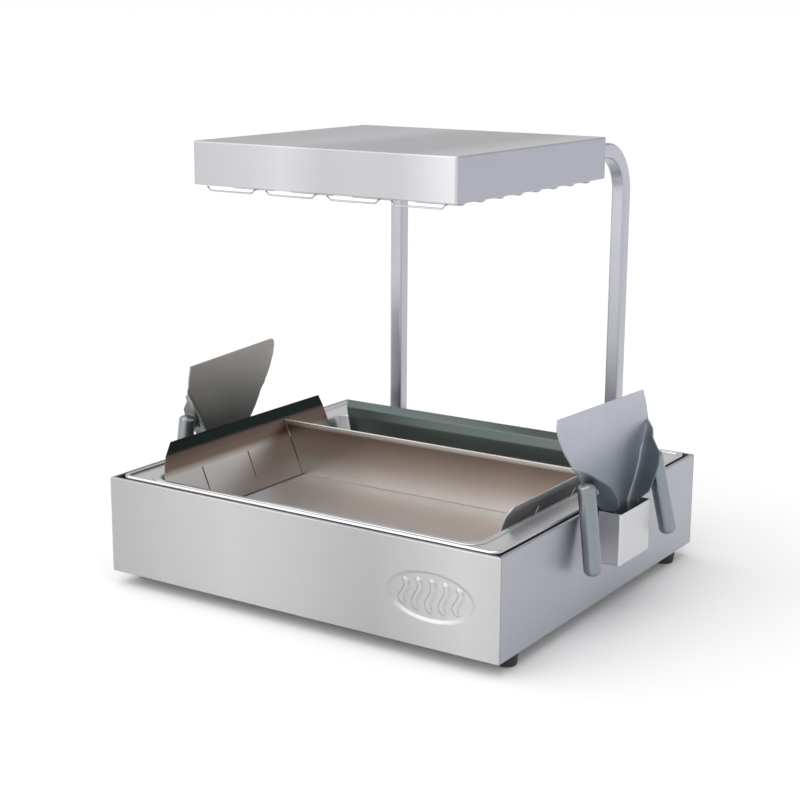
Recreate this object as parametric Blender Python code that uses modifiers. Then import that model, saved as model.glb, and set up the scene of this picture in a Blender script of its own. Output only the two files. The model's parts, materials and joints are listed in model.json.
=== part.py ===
"""Heat lamp warmer: a heated holding base with an overhead heat hood on two bent posts.

Units are metres.  +Z is up, the front faces -Y, and X runs left to right.
The origin is on the surface that the feet stand on, at the middle of the footprint.
"""

import math

import bmesh
import bpy
from mathutils import Matrix, Vector

# Driving dimensions
BASE_WIDTH = 0.670
BASE_DEPTH = 0.616
PANEL_HEIGHT = 0.1467
FOOT_HEIGHT = 0.020
SHEET = 0.0012
GAP = 0.0003
BASE_TOP = FOOT_HEIGHT + PANEL_HEIGHT
HALF_WIDTH = BASE_WIDTH / 2
HALF_DEPTH = BASE_DEPTH / 2
FOOT_X = 0.315
FOOT_Y = 0.253

# Top deck, with its rolled bead and the opening for the food pan
BEAD_HALF_WIDTH = 0.3235
BEAD_FRONT = -0.296
BEAD_BACK = 0.299
BEAD_RISE = 0.0028
LEDGE_Z = BASE_TOP - 0.0017
OPENING_HALF_WIDTH = 0.281
OPENING_FRONT = -0.278
OPENING_BACK = 0.215
PAN_FLOOR_Z = 0.103
PAN_SHEET = 0.0010

# Sheet-metal insert standing in the pan
INSERT_FLOOR_HALF_WIDTH = 0.236
INSERT_FLOOR_Z = 0.1052
WING_SLOPE = 0.4287
WING_FLANGE_OUT = 0.0095
WING_BACK = 0.150
LEFT_WING_BEND_Z = 0.195
LEFT_WING_TOP = 0.211
LEFT_WING_FRONT = -0.2715
LEFT_WING_RAKE = (0.024, 0.0, 0.020, 0.042)
RIGHT_WING_BEND_Z = 0.176
RIGHT_WING_TOP = 0.190
RIGHT_WING_FRONT = -0.173
RIGHT_WING_RAKE = (0.012, 0.0, 0.0, 0.003)
DIVIDER_Y = 0.0405
SLOT_PITCH = 0.112
SLOT_LOW = 0.126
SLOT_HIGH = 0.165
BACK_WALL_Y = 0.195
BACK_WALL_TOP = 0.195

# Posts and hood
POST_X = 0.205
POST_Y = 0.279
POST_SIZE = 0.023
POST_WALL = 0.0016
POST_BEND_RADIUS = 0.070
POST_RUN_Z = 0.643
POST_FOOT_Z = 0.050
HOOD_HALF_WIDTH = 0.220
HOOD_FRONT = -0.238
HOOD_BACK = 0.192
HOOD_BOTTOM = 0.603
HOOD_TOP = 0.665
STRIP_PITCH = 0.1045
STRIP_COUNT = 4
STRIP_FRONT = HOOD_FRONT + 0.010
STRIP_BACK = HOOD_BACK - 0.036
STRIP_Z = HOOD_BOTTOM + SHEET + 0.0008
ELEMENT_RADIUS = 0.004
GUARD_DROP = 0.009
GUARD_WIRE = 0.0012

# Scoop holders and scoops
HOLDER_DEPTH = 0.037
HOLDER_WIDTH = 0.098
HOLDER_BOTTOM = 0.083
HOLDER_TOP = 0.160
RIGHT_HOLDER_Y = 0.016
LEFT_HOLDER_Y = -0.008
SCOOP_SHIFT = -0.0095
SCOOP_X = 0.3434
SCOOP_SHEET = 0.0024
HANDLE_RADIUS = 0.013
HANDLE_OFFSET = 0.0965
HANDLE_RISE = 0.0178
HANDLE_SPLAY = 6.0
NECK_INNER = 0.0775

# Controls, in a recess at the middle of the back panel
CONTROL_Z = 0.088
CONTROL_WIDTH = 0.170
CONTROL_HEIGHT = 0.062
CONTROL_RECESS = 0.026
RECESS_Y = HALF_DEPTH - SHEET - GAP - SHEET / 2
RECESS_FLOOR = RECESS_Y - CONTROL_RECESS + SHEET / 2 + GAP
KNOB_X = -0.055
ROCKER_X = 0.005
INLET_X = 0.056
ROCKER_TILT = 10.0

# Axes for outlines that are drawn flat and then given a thickness
ALONG_X = Matrix(((0, 0, 1, 0), (1, 0, 0, 0), (0, 1, 0, 0), (0, 0, 0, 1)))
ALONG_Y = Matrix(((1, 0, 0, 0), (0, 0, -1, 0), (0, 1, 0, 0), (0, 0, 0, 1)))
ALONG_Z = Matrix.Identity(4)

STEEL = ((0.66, 0.66, 0.67), 0.32, 1.0)
BRIGHT_STEEL = ((0.78, 0.78, 0.79), 0.18, 1.0)
CAST = ((0.40, 0.43, 0.47), 0.45, 0.6)
RUBBER = ((0.03, 0.03, 0.03), 0.8, 0.0)
BLACK_PLASTIC = ((0.03, 0.03, 0.035), 0.4, 0.0)
CERAMIC = ((0.82, 0.79, 0.72), 0.6, 0.0)
WOOL = ((0.75, 0.70, 0.45), 0.9, 0.0)
SILICONE = ((0.45, 0.14, 0.08), 0.6, 0.0)


# ---------------------------------------------------------------- helpers

def clear_scene():
    """Remove what the file held before, and make the two collections."""
    for obj in list(bpy.data.objects):
        bpy.data.objects.remove(obj, do_unlink=True)
    for name in ("heat_lamp_warmer", "cutters"):
        collection = bpy.data.collections.new(name)
        bpy.context.scene.collection.children.link(collection)


def material(name, look):
    """A Principled material with a colour, a roughness and a metallic value."""
    colour, roughness, metallic = look
    result = bpy.data.materials.new(name)
    result.use_nodes = True
    shader = result.node_tree.nodes["Principled BSDF"]
    shader.inputs["Base Color"].default_value = (*colour, 1.0)
    shader.inputs["Roughness"].default_value = roughness
    shader.inputs["Metallic"].default_value = metallic
    return result


def add_object(name, data, look, collection="heat_lamp_warmer"):
    """Wrap mesh or curve data in an object with a material of its own."""
    obj = bpy.data.objects.new(name, data)
    bpy.data.collections[collection].objects.link(obj)
    if look is not None:
        data.materials.append(material(name, look))
    return obj


def mesh_from(name, bm):
    """Turn a bmesh into mesh data and free it."""
    mesh = bpy.data.meshes.new(name)
    bm.to_mesh(mesh)
    bm.free()
    return mesh


def box_into(bm, low, high):
    """Add one box to a bmesh."""
    made = bmesh.ops.create_cube(bm, size=1.0)
    size = Vector(high) - Vector(low)
    middle = (Vector(high) + Vector(low)) / 2
    bmesh.ops.scale(bm, vec=size, verts=made["verts"])
    bmesh.ops.translate(bm, vec=middle, verts=made["verts"])


def boxes(name, spans, look, collection="heat_lamp_warmer"):
    """One object made of separate boxes, each given by its two corners."""
    bm = bmesh.new()
    for low, high in spans:
        box_into(bm, low, high)
    return add_object(name, mesh_from(name, bm), look, collection)


def rod(name, place, radius, length, axis, look, segments=12):
    """A round pin or rod, centred on its place along an axis."""
    turn = {"X": Matrix.Rotation(math.pi / 2, 4, "Y"),
            "Y": Matrix.Rotation(math.pi / 2, 4, "X"),
            "Z": Matrix.Identity(4)}[axis]
    bm = bmesh.new()
    bmesh.ops.create_cone(bm, cap_ends=True, segments=segments, radius1=radius,
                          radius2=radius, depth=length,
                          matrix=Matrix.Translation(place) @ turn)
    obj = add_object(name, mesh_from(name, bm), look)
    obj.data.shade_smooth()
    obj.data.set_sharp_from_angle(angle=math.radians(40))
    return obj


def outline_solid(name, loops, thickness, axes, place, look):
    """A flat outline, with any holes as further loops, given a thickness."""
    curve = bpy.data.curves.new(name, "CURVE")
    curve.dimensions = "2D"
    curve.fill_mode = "BOTH"
    curve.extrude = thickness / 2
    for loop in loops:
        spline = curve.splines.new("POLY")
        spline.points.add(len(loop) - 1)
        spline.use_cyclic_u = True
        for point, (x, y) in zip(spline.points, loop):
            point.co = (x, y, 0.0, 1.0)
    obj = add_object(name, curve, look)
    obj.matrix_world = Matrix.Translation(place) @ axes
    return obj


def solidify(obj, thickness):
    """Give an open sheet its thickness, half to each side."""
    modifier = obj.modifiers.new("Sheet thickness", "SOLIDIFY")
    modifier.thickness = thickness
    modifier.offset = 0.0
    modifier.use_even_offset = True
    modifier.use_quality_normals = True
    return modifier


def cut(obj, cutter, operation="DIFFERENCE"):
    """Cut one object with another, which is then only a guide."""
    cutter.hide_render = True
    cutter.display_type = "WIRE"
    modifier = obj.modifiers.new(operation.title(), "BOOLEAN")
    modifier.operation = operation
    modifier.solver = "EXACT"
    modifier.object = cutter


def rounded_rectangle(half_x, front, back, radius, z, steps=4):
    """Points of a rectangle with round corners, counter-clockwise from above."""
    centres = ((half_x - radius, back - radius), (radius - half_x, back - radius),
               (radius - half_x, front + radius), (half_x - radius, front + radius))
    points = []
    for corner, (x, y) in enumerate(centres):
        for step in range(steps + 1):
            angle = math.pi / 2 * (corner + step / steps)
            points.append((x + radius * math.cos(angle), y + radius * math.sin(angle), z))
    return points


def ring_sheet(name, rings, thickness, look, close_last=False):
    """A sheet through rings with equal numbers of points, as a deep-drawn pressing."""
    bm = bmesh.new()
    rows = [[bm.verts.new(point) for point in ring] for ring in rings]
    for lower, upper in zip(rows, rows[1:]):
        count = len(lower)
        for i in range(count):
            j = (i + 1) % count
            bm.faces.new((lower[i], lower[j], upper[j], upper[i]))
    if close_last:
        bm.faces.new(rows[-1])
    obj = add_object(name, mesh_from(name, bm), look)
    solidify(obj, thickness)
    return obj


def strip_sheet(name, rows, thickness, look):
    """A folded sheet through rows of points with equal numbers of points."""
    bm = bmesh.new()
    grid = [[bm.verts.new(point) for point in row] for row in rows]
    for near, far in zip(grid, grid[1:]):
        for i in range(len(near) - 1):
            bm.faces.new((near[i], near[i + 1], far[i + 1], far[i]))
    obj = add_object(name, mesh_from(name, bm), look)
    solidify(obj, thickness)
    return obj


def turned(name, profile, place, look, segments=16, axes=ALONG_Z):
    """A turned solid from a profile of (radius, height), given from top to bottom."""
    bm = bmesh.new()
    points = [bm.verts.new((radius, 0.0, height)) for radius, height in profile]
    for upper, lower in zip(points, points[1:]):
        bm.edges.new((upper, lower))
    obj = add_object(name, mesh_from(name, bm), look)
    obj.matrix_world = Matrix.Translation(place) @ axes
    screw = obj.modifiers.new("Turn", "SCREW")
    screw.axis = "Z"
    screw.steps = segments
    screw.render_steps = segments
    screw.use_merge_vertices = True
    screw.merge_threshold = 0.00001
    return obj


# ---------------------------------------------------------------- base

def make_panel(name, half_length, place, turn):
    """A folded panel: an upright wall with mitred lips turned in at top and bottom."""
    half = SHEET / 2
    low = FOOT_HEIGHT + half
    high = BASE_TOP - half
    rows = []
    for lip, z in ((0.014, low), (0.0, low), (0.0, high), (0.0045, high)):
        end = half_length - 1.2 * lip
        rows.append([(-end, half + lip, z), (end, half + lip, z)])
    panel = strip_sheet(name, rows, SHEET, STEEL)
    panel.matrix_world = Matrix.Translation(place) @ Matrix.Rotation(math.radians(turn), 4, "Z")
    return panel


def make_panels():
    """The four folded outer panels of the base, ends lapping over the sides."""
    side_half = HALF_DEPTH - SHEET - 3 * GAP
    make_panel("front_panel", HALF_WIDTH, (0, -HALF_DEPTH, 0), 0)
    make_panel("side_panel_right", side_half, (HALF_WIDTH, 0, 0), 90)
    make_panel("side_panel_left", side_half, (-HALF_WIDTH, 0, 0), -90)
    back_panel = make_panel("back_panel", HALF_WIDTH, (0, HALF_DEPTH, 0), 180)
    window = boxes("control_window_cutter",
                   [((-CONTROL_WIDTH / 2, HALF_DEPTH - 0.010, CONTROL_Z - CONTROL_HEIGHT / 2),
                     (CONTROL_WIDTH / 2, HALF_DEPTH + 0.010, CONTROL_Z + CONTROL_HEIGHT / 2))],
                   None, "cutters")
    cut(back_panel, window)


def make_bottom_cover():
    """The cover under the base, with rows of vent slots."""
    half_x = HALF_WIDTH - SHEET - 0.001
    half_y = HALF_DEPTH - SHEET - 0.001
    loops = [((-half_x, -half_y), (half_x, -half_y), (half_x, half_y), (-half_x, half_y))]
    slot_half_width = 0.003
    slot_half_length = 0.030
    for row in (-1, 1):
        for column in range(-3, 4):
            x = column * 0.040
            y = row * 0.200
            loops.append(((x - slot_half_width, y - slot_half_length),
                          (x + slot_half_width, y - slot_half_length),
                          (x + slot_half_width, y + slot_half_length),
                          (x - slot_half_width, y + slot_half_length)))
    z = FOOT_HEIGHT + SHEET + GAP + SHEET / 2
    outline_solid("bottom_cover", loops, SHEET, ALONG_Z, (0, 0, z), STEEL)


def make_feet():
    """Four rubber feet under the corners."""
    profile = ((0.0, FOOT_HEIGHT - GAP), (0.0165, FOOT_HEIGHT - GAP), (0.0165, 0.016),
               (0.0150, 0.002), (0.0135, 0.0), (0.0, 0.0))
    for end, y in (("front", -FOOT_Y), ("rear", FOOT_Y)):
        for side, x in (("left", -FOOT_X), ("right", FOOT_X)):
            turned("foot_%s_%s" % (end, side), profile, (x, y, 0), RUBBER)


def make_top_deck():
    """The drawn top: outer skirt, rolled bead, flat ledge and turned-down opening."""
    def outer(inset, z):
        return rounded_rectangle(BEAD_HALF_WIDTH - inset, BEAD_FRONT + inset,
                                 BEAD_BACK - inset, 0.014 - inset, z)

    def opening(z):
        return rounded_rectangle(OPENING_HALF_WIDTH, OPENING_FRONT, OPENING_BACK, 0.006, z)

    rings = [outer(0.0, LEDGE_Z - 0.012), outer(0.0, LEDGE_Z + 0.001),
             outer(0.0010, LEDGE_Z + BEAD_RISE), outer(0.0030, LEDGE_Z + BEAD_RISE + 0.0008),
             outer(0.0050, LEDGE_Z + BEAD_RISE), outer(0.0060, LEDGE_Z),
             opening(LEDGE_Z), opening(LEDGE_Z - 0.008)]
    deck = ring_sheet("top_deck", rings, SHEET, BRIGHT_STEEL)
    reach = POST_SIZE / 2 + 2 * GAP
    holes = [((side * POST_X - reach, POST_Y - reach, LEDGE_Z - 0.004),
              (side * POST_X + reach, POST_Y + reach, LEDGE_Z + 0.004)) for side in (-1, 1)]
    cut(deck, boxes("post_hole_cutter", holes, None, "cutters"))


def make_well():
    """Under the pan: liner, insulation, heating blanket, spreader and sensing bulb."""
    wall_x = OPENING_HALF_WIDTH + 0.009
    front = OPENING_FRONT - 0.009
    back = OPENING_BACK + 0.009
    floor = 0.040
    rings = [rounded_rectangle(wall_x, front, back, 0.006, LEDGE_Z - SHEET - GAP, 2),
             rounded_rectangle(wall_x, front, back, 0.006, floor, 2)]
    ring_sheet("well_liner", rings, SHEET, STEEL, close_last=True)
    half_x = wall_x - 0.010
    low_y = front + 0.010
    high_y = back - 0.010
    layers = (("insulation_pad", floor + SHEET, 0.022, 0.0, WOOL),
              ("heating_blanket", floor + SHEET + 0.0225, 0.002, 0.030, SILICONE),
              ("heat_spreader", floor + SHEET + 0.0250, 0.002, 0.010, BRIGHT_STEEL))
    for name, low, thickness, inset, look in layers:
        boxes(name, [((-half_x + inset, low_y + inset, low),
                      (half_x - inset, high_y - inset, low + thickness))], look)
    rod("thermostat_bulb", (0.0, 0.060, floor + SHEET + 0.0275 + 0.0035), 0.003, 0.090,
        "X", BRIGHT_STEEL, segments=10)


def make_food_pan():
    """The drop-in pan: flange on the ledge, sloping walls and a flat floor."""
    flange_z = LEDGE_Z + SHEET / 2 + GAP + PAN_SHEET / 2

    def ring(inset, z):
        return rounded_rectangle(OPENING_HALF_WIDTH - inset, OPENING_FRONT + inset,
                                 OPENING_BACK - inset, 0.024, z)

    rings = [ring(-0.006, flange_z), ring(0.0020, flange_z), ring(0.0030, flange_z - 0.0015),
             ring(0.0045, flange_z - 0.008), ring(0.0140, PAN_FLOOR_Z + 0.009),
             ring(0.0165, PAN_FLOOR_Z + 0.0025), ring(0.0230, PAN_FLOOR_Z)]
    ring_sheet("food_pan", rings, PAN_SHEET, BRIGHT_STEEL, close_last=True)


# ---------------------------------------------------------------- pan insert

def wing_x(z):
    """Distance of a wing's sheet from the middle at a height, below the bend."""
    return INSERT_FLOOR_HALF_WIDTH + WING_SLOPE * (z - INSERT_FLOOR_Z)


def make_wing(name, side, front, bend_z, top_z, rakes):
    """One side wing: sloping wall, flange bent further out, raked front and slots."""
    foot_z = INSERT_FLOOR_Z + SHEET
    profile = [(wing_x(z), z) for z in (foot_z, SLOT_HIGH, bend_z)]
    profile.append((wing_x(bend_z) + WING_FLANGE_OUT, top_z))
    rows = [[(side * x, front + rake, z), (side * x, WING_BACK, z)]
            for (x, z), rake in zip(profile, rakes)]
    wing = strip_sheet(name, rows, SHEET, STEEL)
    slots = []
    for step in range(3):
        y = DIVIDER_Y - step * SLOT_PITCH
        if y > front + 0.02:
            slots.append(((side * 0.258 - 0.024, y - 0.0012, SLOT_LOW),
                          (side * 0.258 + 0.024, y + 0.0012, SLOT_HIGH)))
    cut(wing, boxes(name + "_slot_cutter", slots, None, "cutters"))


def make_insert():
    """The removable insert: floor, two wings and back wall; then the cross divider."""
    floor_front = OPENING_FRONT + 0.028
    boxes("insert_floor", [((-INSERT_FLOOR_HALF_WIDTH + 0.002, floor_front, INSERT_FLOOR_Z - SHEET),
                            (INSERT_FLOOR_HALF_WIDTH - 0.002, BACK_WALL_Y - 0.012,
                             INSERT_FLOOR_Z))], STEEL)
    make_wing("insert_wing_left", -1, LEFT_WING_FRONT, LEFT_WING_BEND_Z, LEFT_WING_TOP,
              LEFT_WING_RAKE)
    make_wing("insert_wing_right", 1, RIGHT_WING_FRONT, RIGHT_WING_BEND_Z, RIGHT_WING_TOP,
              RIGHT_WING_RAKE)
    half = INSERT_FLOOR_HALF_WIDTH - 0.004
    rows = []
    for spread, y, z in ((0.0, BACK_WALL_Y - 0.010, INSERT_FLOOR_Z + SHEET),
                         (0.020, BACK_WALL_Y, 0.165), (0.028, BACK_WALL_Y + 0.004, 0.183),
                         (0.030, BACK_WALL_Y + 0.012, BACK_WALL_TOP)):
        rows.append([(-half - spread, y, z), (half + spread, y, z)])
    strip_sheet("insert_back_wall", rows, SHEET, STEEL)
    low = INSERT_FLOOR_Z + 2 * GAP
    high = 0.193
    clearance = 0.0016
    outline = ((-wing_x(low) + clearance, low), (wing_x(low) - clearance, low),
               (wing_x(high) - clearance, high), (-wing_x(high) + clearance, high))
    outline_solid("cross_divider", [outline], SHEET, ALONG_Y, (0, DIVIDER_Y, 0), STEEL)


# ---------------------------------------------------------------- posts and hood

def post_path():
    """Middle line of a post, from its foot up, round the bend and forward."""
    points = [(0.0, POST_Y, POST_FOOT_Z)]
    steps = 8
    for step in range(steps + 1):
        angle = math.pi / 2 * step / steps
        points.append((0.0, POST_Y - POST_BEND_RADIUS * (1 - math.cos(angle)),
                       POST_RUN_Z - POST_BEND_RADIUS * (1 - math.sin(angle))))
    points.append((0.0, HOOD_BACK - 0.030, POST_RUN_Z))
    return points


def tube_section(size, corner):
    """A square with small flats across its corners, as (across, outward) pairs."""
    half = size / 2
    flat = half - corner
    return ((half, -flat), (half, flat), (flat, half), (-flat, half),
            (-half, flat), (-half, -flat), (-flat, -half), (flat, -half))


def make_post(name, side):
    """A bent square tube, open at both ends for the hood's wires."""
    path = [Vector(point) for point in post_path()]
    across = Vector((1, 0, 0))
    rings = []
    for i, point in enumerate(path):
        before = path[max(i - 1, 0)]
        after = path[min(i + 1, len(path) - 1)]
        outward = across.cross((after - before).normalized())
        centre = point + across * side * POST_X
        rings.append([centre + across * a + outward * b
                      for a, b in tube_section(POST_SIZE - POST_WALL, 0.0022)])
    ring_sheet(name, rings, POST_WALL, STEEL)


def make_post_bracket():
    """The cross bar inside the base that both posts are bolted to, and the bolts."""
    bar_y = POST_Y + POST_SIZE / 2 + GAP
    bar_z = 0.140
    half_x = POST_X + 0.030
    boxes("post_cross_bar", [((-half_x, bar_y, bar_z - 0.011),
                              (half_x, bar_y + 0.004, bar_z + 0.011))], STEEL)
    head = 0.005
    for name, side in (("left", -1), ("right", 1)):
        place = (side * POST_X, bar_y + 0.004 + GAP + head / 2, bar_z)
        rod("post_bolt_%s" % name, place, 0.0065, head, "Y", BRIGHT_STEEL, segments=6)


def make_hood_shell():
    """The hood's pressed shell, open below, with holes for the posts at the back."""
    half = SHEET / 2

    def ring(inset, z, radius=0.004):
        return rounded_rectangle(HOOD_HALF_WIDTH - half - inset, HOOD_FRONT + half + inset,
                                 HOOD_BACK - half - inset, radius, z, 2)

    rings = [ring(0.006, HOOD_BOTTOM + half), ring(0.0, HOOD_BOTTOM + half),
             ring(0.0, HOOD_TOP - half - 0.0015), ring(0.0015, HOOD_TOP - half, 0.0025)]
    shell = ring_sheet("hood_shell", rings, SHEET, STEEL, close_last=True)
    reach = POST_SIZE / 2 + 2 * GAP
    holes = [((side * POST_X - reach, HOOD_BACK - 0.005, POST_RUN_Z - reach),
              (side * POST_X + reach, HOOD_BACK + 0.005, POST_RUN_Z + reach))
             for side in (-1, 1)]
    cut(shell, boxes("hood_hole_cutter", holes, None, "cutters"))
    inner_x = POST_X - reach - GAP
    bar_y = HOOD_BACK - SHEET - 2 * GAP
    boxes("hood_cross_bar", [((-inner_x, bar_y - 0.025, POST_RUN_Z - 0.010),
                              (inner_x, bar_y, POST_RUN_Z + 0.010))], STEEL)


def strip_centres():
    """Middle of each heating strip across the hood."""
    return [(i - (STRIP_COUNT - 1) / 2) * STRIP_PITCH for i in range(STRIP_COUNT)]


def make_strip(number, x):
    """One heating strip: folded reflector and sheathed element."""
    flange = STRIP_PITCH / 2 - 0.0008
    crown = 0.026
    section = ((-flange, STRIP_Z), (0.008 - flange, STRIP_Z), (-crown, STRIP_Z + 0.024),
               (crown, STRIP_Z + 0.024), (flange - 0.008, STRIP_Z), (flange, STRIP_Z))
    rows = [[(x + dx, STRIP_FRONT, z), (x + dx, STRIP_BACK, z)] for dx, z in section]
    strip_sheet("reflector_%d" % number, rows, 0.0008, BRIGHT_STEEL)
    length = STRIP_BACK - STRIP_FRONT + 0.012
    middle = (x, (STRIP_FRONT + STRIP_BACK) / 2, STRIP_Z + 0.013)
    rod("heating_element_%d" % number, middle, ELEMENT_RADIUS, length, "Y", CERAMIC, segments=10)


def make_element_supports():
    """Plates across both ends of the strips, with a hole for each element."""
    half_x = STRIP_COUNT * STRIP_PITCH / 2
    edge = ((-half_x, STRIP_Z), (half_x, STRIP_Z), (half_x, STRIP_Z + 0.026),
            (-half_x, STRIP_Z + 0.026))
    radius = ELEMENT_RADIUS + 2 * GAP
    sides = 12
    loops = [edge]
    for x in strip_centres():
        loops.append([(x + radius * math.cos(2 * math.pi * i / sides),
                       STRIP_Z + 0.013 + radius * math.sin(2 * math.pi * i / sides))
                      for i in range(sides)])
    reach = GAP + SHEET / 2
    for name, y in (("front", STRIP_FRONT - reach), ("rear", STRIP_BACK + reach)):
        outline_solid("element_support_%s" % name, loops, SHEET, ALONG_Y, (0, y, 0), STEEL)


def guard_path(x, front, back, loops):
    """Middle line of a guard wire: loops that dip below the hood from side to side."""
    half = STRIP_PITCH / 2 - 0.010
    top = HOOD_BOTTOM - 0.0018
    low = HOOD_BOTTOM - GUARD_DROP + GUARD_WIRE
    points = []
    pitch = (back - front) / (loops - 1)
    for i in range(loops):
        y = front + i * pitch
        side = 1 if i % 2 == 0 else -1
        points += [(x - side * half, y, top), (x - side * (half - 0.006), y, low),
                   (x + side * (half - 0.006), y, low), (x + side * half, y, top)]
    return points


def make_guard(number, x):
    """One wire guard: a single wire bent back and forth under its strip."""
    curve = bpy.data.curves.new("wire_guard_%d" % number, "CURVE")
    curve.dimensions = "3D"
    curve.bevel_depth = GUARD_WIRE
    curve.bevel_resolution = 1
    curve.use_fill_caps = True
    points = guard_path(x, HOOD_FRONT + 0.006, HOOD_BACK - 0.006, 9)
    spline = curve.splines.new("POLY")
    spline.points.add(len(points) - 1)
    for point, place in zip(spline.points, points):
        point.co = (*place, 1.0)
    add_object("wire_guard_%d" % number, curve, BRIGHT_STEEL)


def make_baffle():
    """The heat baffle between the strips and the hood's top."""
    low = STRIP_Z + 0.0285
    boxes("hood_baffle", [((-HOOD_HALF_WIDTH + 0.004, HOOD_FRONT + 0.004, low),
                           (HOOD_HALF_WIDTH - 0.004, STRIP_BACK, low + 0.001))], STEEL)


# ---------------------------------------------------------------- scoops

def make_holder(name, side, place_y):
    """An open-topped sheet pocket fixed to a side panel."""
    near = HALF_WIDTH + GAP + 0.00075
    far = HALF_WIDTH + HOLDER_DEPTH - 0.00075
    low_y = place_y - HOLDER_WIDTH / 2 + 0.00075
    high_y = place_y + HOLDER_WIDTH / 2 - 0.00075
    middle = side * (near + far) / 2
    half = (far - near) / 2

    def ring(z):
        return [(middle + x, y, z) for x, y, z in
                rounded_rectangle(half, low_y, high_y, 0.002, z, 1)]

    ring_sheet(name, [ring(HOLDER_TOP), ring(HOLDER_BOTTOM + 0.00075)], 0.0015, STEEL,
               close_last=True)
    head = 0.0022
    place = (side * (near + 0.00075 + GAP + head / 2), place_y, HOLDER_BOTTOM + 0.022)
    rod(name.replace("scoop_holder", "holder_screw"), place, 0.005, head, "X", BRIGHT_STEEL)


def scoop_frame(side, holder_y, lean, yaw, roll):
    """World axes of a scoop standing in its holder: across, up the blade, outward."""
    axes = Matrix(((0, 0, side, 0), (side, 0, 0, 0), (0, 1, 0, 0), (0, 0, 0, 1)))
    tip = Matrix.Rotation(math.radians(-lean), 4, "X")
    turn = Matrix.Rotation(math.radians(-roll), 4, "Z")
    swing = Matrix.Rotation(math.radians(yaw), 4, "Z")
    place = (side * SCOOP_X, holder_y + SCOOP_SHIFT, HOLDER_TOP)
    return Matrix.Translation(place) @ swing @ axes @ tip @ turn


# Blade rows from the spout to the mouth: height up the blade, left edge, right edge
BLADE = ((-0.035, -0.027, 0.027), (0.000, -0.034, 0.034), (0.010, -0.044, 0.044),
         (0.025, -0.060, 0.060), (0.045, -0.0755, 0.0755), (0.060, -0.0845, 0.0845),
         (0.079, -0.0925, 0.100), (0.101, -0.1065, 0.115), (0.125, -0.1160, 0.1145),
         (0.140, -0.1180, 0.1120))
MOUTH = ((-0.1100, 0.1520), (0.1115, 0.1440))

# Rims of the side walls on the same rows: half width and height above the blade
LEFT_RIM = ((0.027, 0.0165), (0.034, 0.0180), (0.0405, 0.0330), (0.049, 0.0380),
            (0.064, 0.0390), (0.0775, 0.0270))
RIGHT_RIM = ((0.027, 0.0165), (0.034, 0.0180), (0.0405, 0.0330), (0.049, 0.0380),
             (0.064, 0.0410), (0.0720, 0.0390), (0.083, 0.0240))


def make_scoop(name, frame):
    """A funnel scoop: flat blade, two side walls that close in on an open spout."""
    bm = bmesh.new()
    columns = (0.0, 0.25, 0.5, 0.75, 1.0)

    def row(left, right, s_left, s_right):
        return [bm.verts.new((left + (right - left) * t, s_left + (s_right - s_left) * t, 0.0))
                for t in columns]

    rows = [row(left, right, s, s) for s, left, right in BLADE]
    (mouth_left, s_left), (mouth_right, s_right) = MOUTH
    rows.append(row(mouth_left, mouth_right, s_left, s_right))
    for lower, upper in zip(rows, rows[1:]):
        for i in range(len(columns) - 1):
            bm.faces.new((lower[i], lower[i + 1], upper[i + 1], upper[i]))
    for edge, direction, outline in ((0, -1, LEFT_RIM), (-1, 1, RIGHT_RIM)):
        rim = [bm.verts.new((direction * width, BLADE[i][0], height))
               for i, (width, height) in enumerate(outline)]
        for i in range(len(rim) - 1):
            bm.faces.new((rows[i][edge], rows[i + 1][edge], rim[i + 1], rim[i]))
        last = len(rim)
        bm.faces.new((rows[last - 1][edge], rows[last][edge], rim[-1]))
    bmesh.ops.recalc_face_normals(bm, faces=bm.faces)
    obj = add_object(name, mesh_from(name, bm), CAST)
    obj.matrix_world = frame
    solidify(obj, SCOOP_SHEET)


def make_scoop_handle(name, direction, frame):
    """A round grip with domed ends that hangs beside the spout, and its short neck."""
    top = 0.058
    bottom = -0.073
    dome = 4
    profile = [(0.0, top)]
    for step in range(1, dome + 1):
        angle = math.pi / 2 * step / dome
        profile.append((HANDLE_RADIUS * math.sin(angle),
                        top - HANDLE_RADIUS * 0.6 * (1 - math.cos(angle))))
    for step in range(dome, 0, -1):
        angle = math.pi / 2 * step / dome
        profile.append((HANDLE_RADIUS * math.sin(angle),
                        bottom + HANDLE_RADIUS * 0.8 * (1 - math.cos(angle))))
    profile.append((0.0, bottom))
    place = frame @ Matrix.Translation((direction * HANDLE_OFFSET, 0.0, HANDLE_RISE))
    splay = Matrix.Rotation(math.radians(direction * HANDLE_SPLAY), 4, "Z")
    grip = turned(name, profile, (0, 0, 0), CAST, segments=12)
    grip.matrix_world = place @ splay @ Matrix.Rotation(-math.pi / 2, 4, "X")
    reach = HANDLE_OFFSET - 0.004
    spans = [((min(direction * NECK_INNER, direction * reach), 0.034, 0.009),
              (max(direction * NECK_INNER, direction * reach), 0.050, 0.021))]
    neck = boxes(name + "_neck", spans, None, "cutters")
    neck.matrix_world = frame
    cut(grip, neck, "UNION")


def make_scoops():
    """Both holders, with a scoop resting loosely in each: two grips on the right one."""
    stands = (("right", 1, RIGHT_HOLDER_Y, (9.0, -6.0, -3.0), ("front", "rear")),
              ("left", -1, LEFT_HOLDER_Y, (4.0, 3.0, 0.0), ("front",)))
    for name, side, place_y, angles, grips in stands:
        make_holder("scoop_holder_%s" % name, side, place_y)
        frame = scoop_frame(side, place_y, *angles)
        make_scoop("scoop_%s" % name, frame)
        for end in grips:
            direction = -side if end == "front" else side
            make_scoop_handle("scoop_handle_%s_%s" % (name, end), direction, frame)


# ---------------------------------------------------------------- controls

def upright_rectangle(half_x, half_z, radius, y):
    """A rectangle with round corners standing in the plane of the back panel."""
    return [(x, y, CONTROL_Z + z) for x, z, _ in
            rounded_rectangle(half_x, -half_z, half_z, radius, 0.0, 2)]


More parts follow.
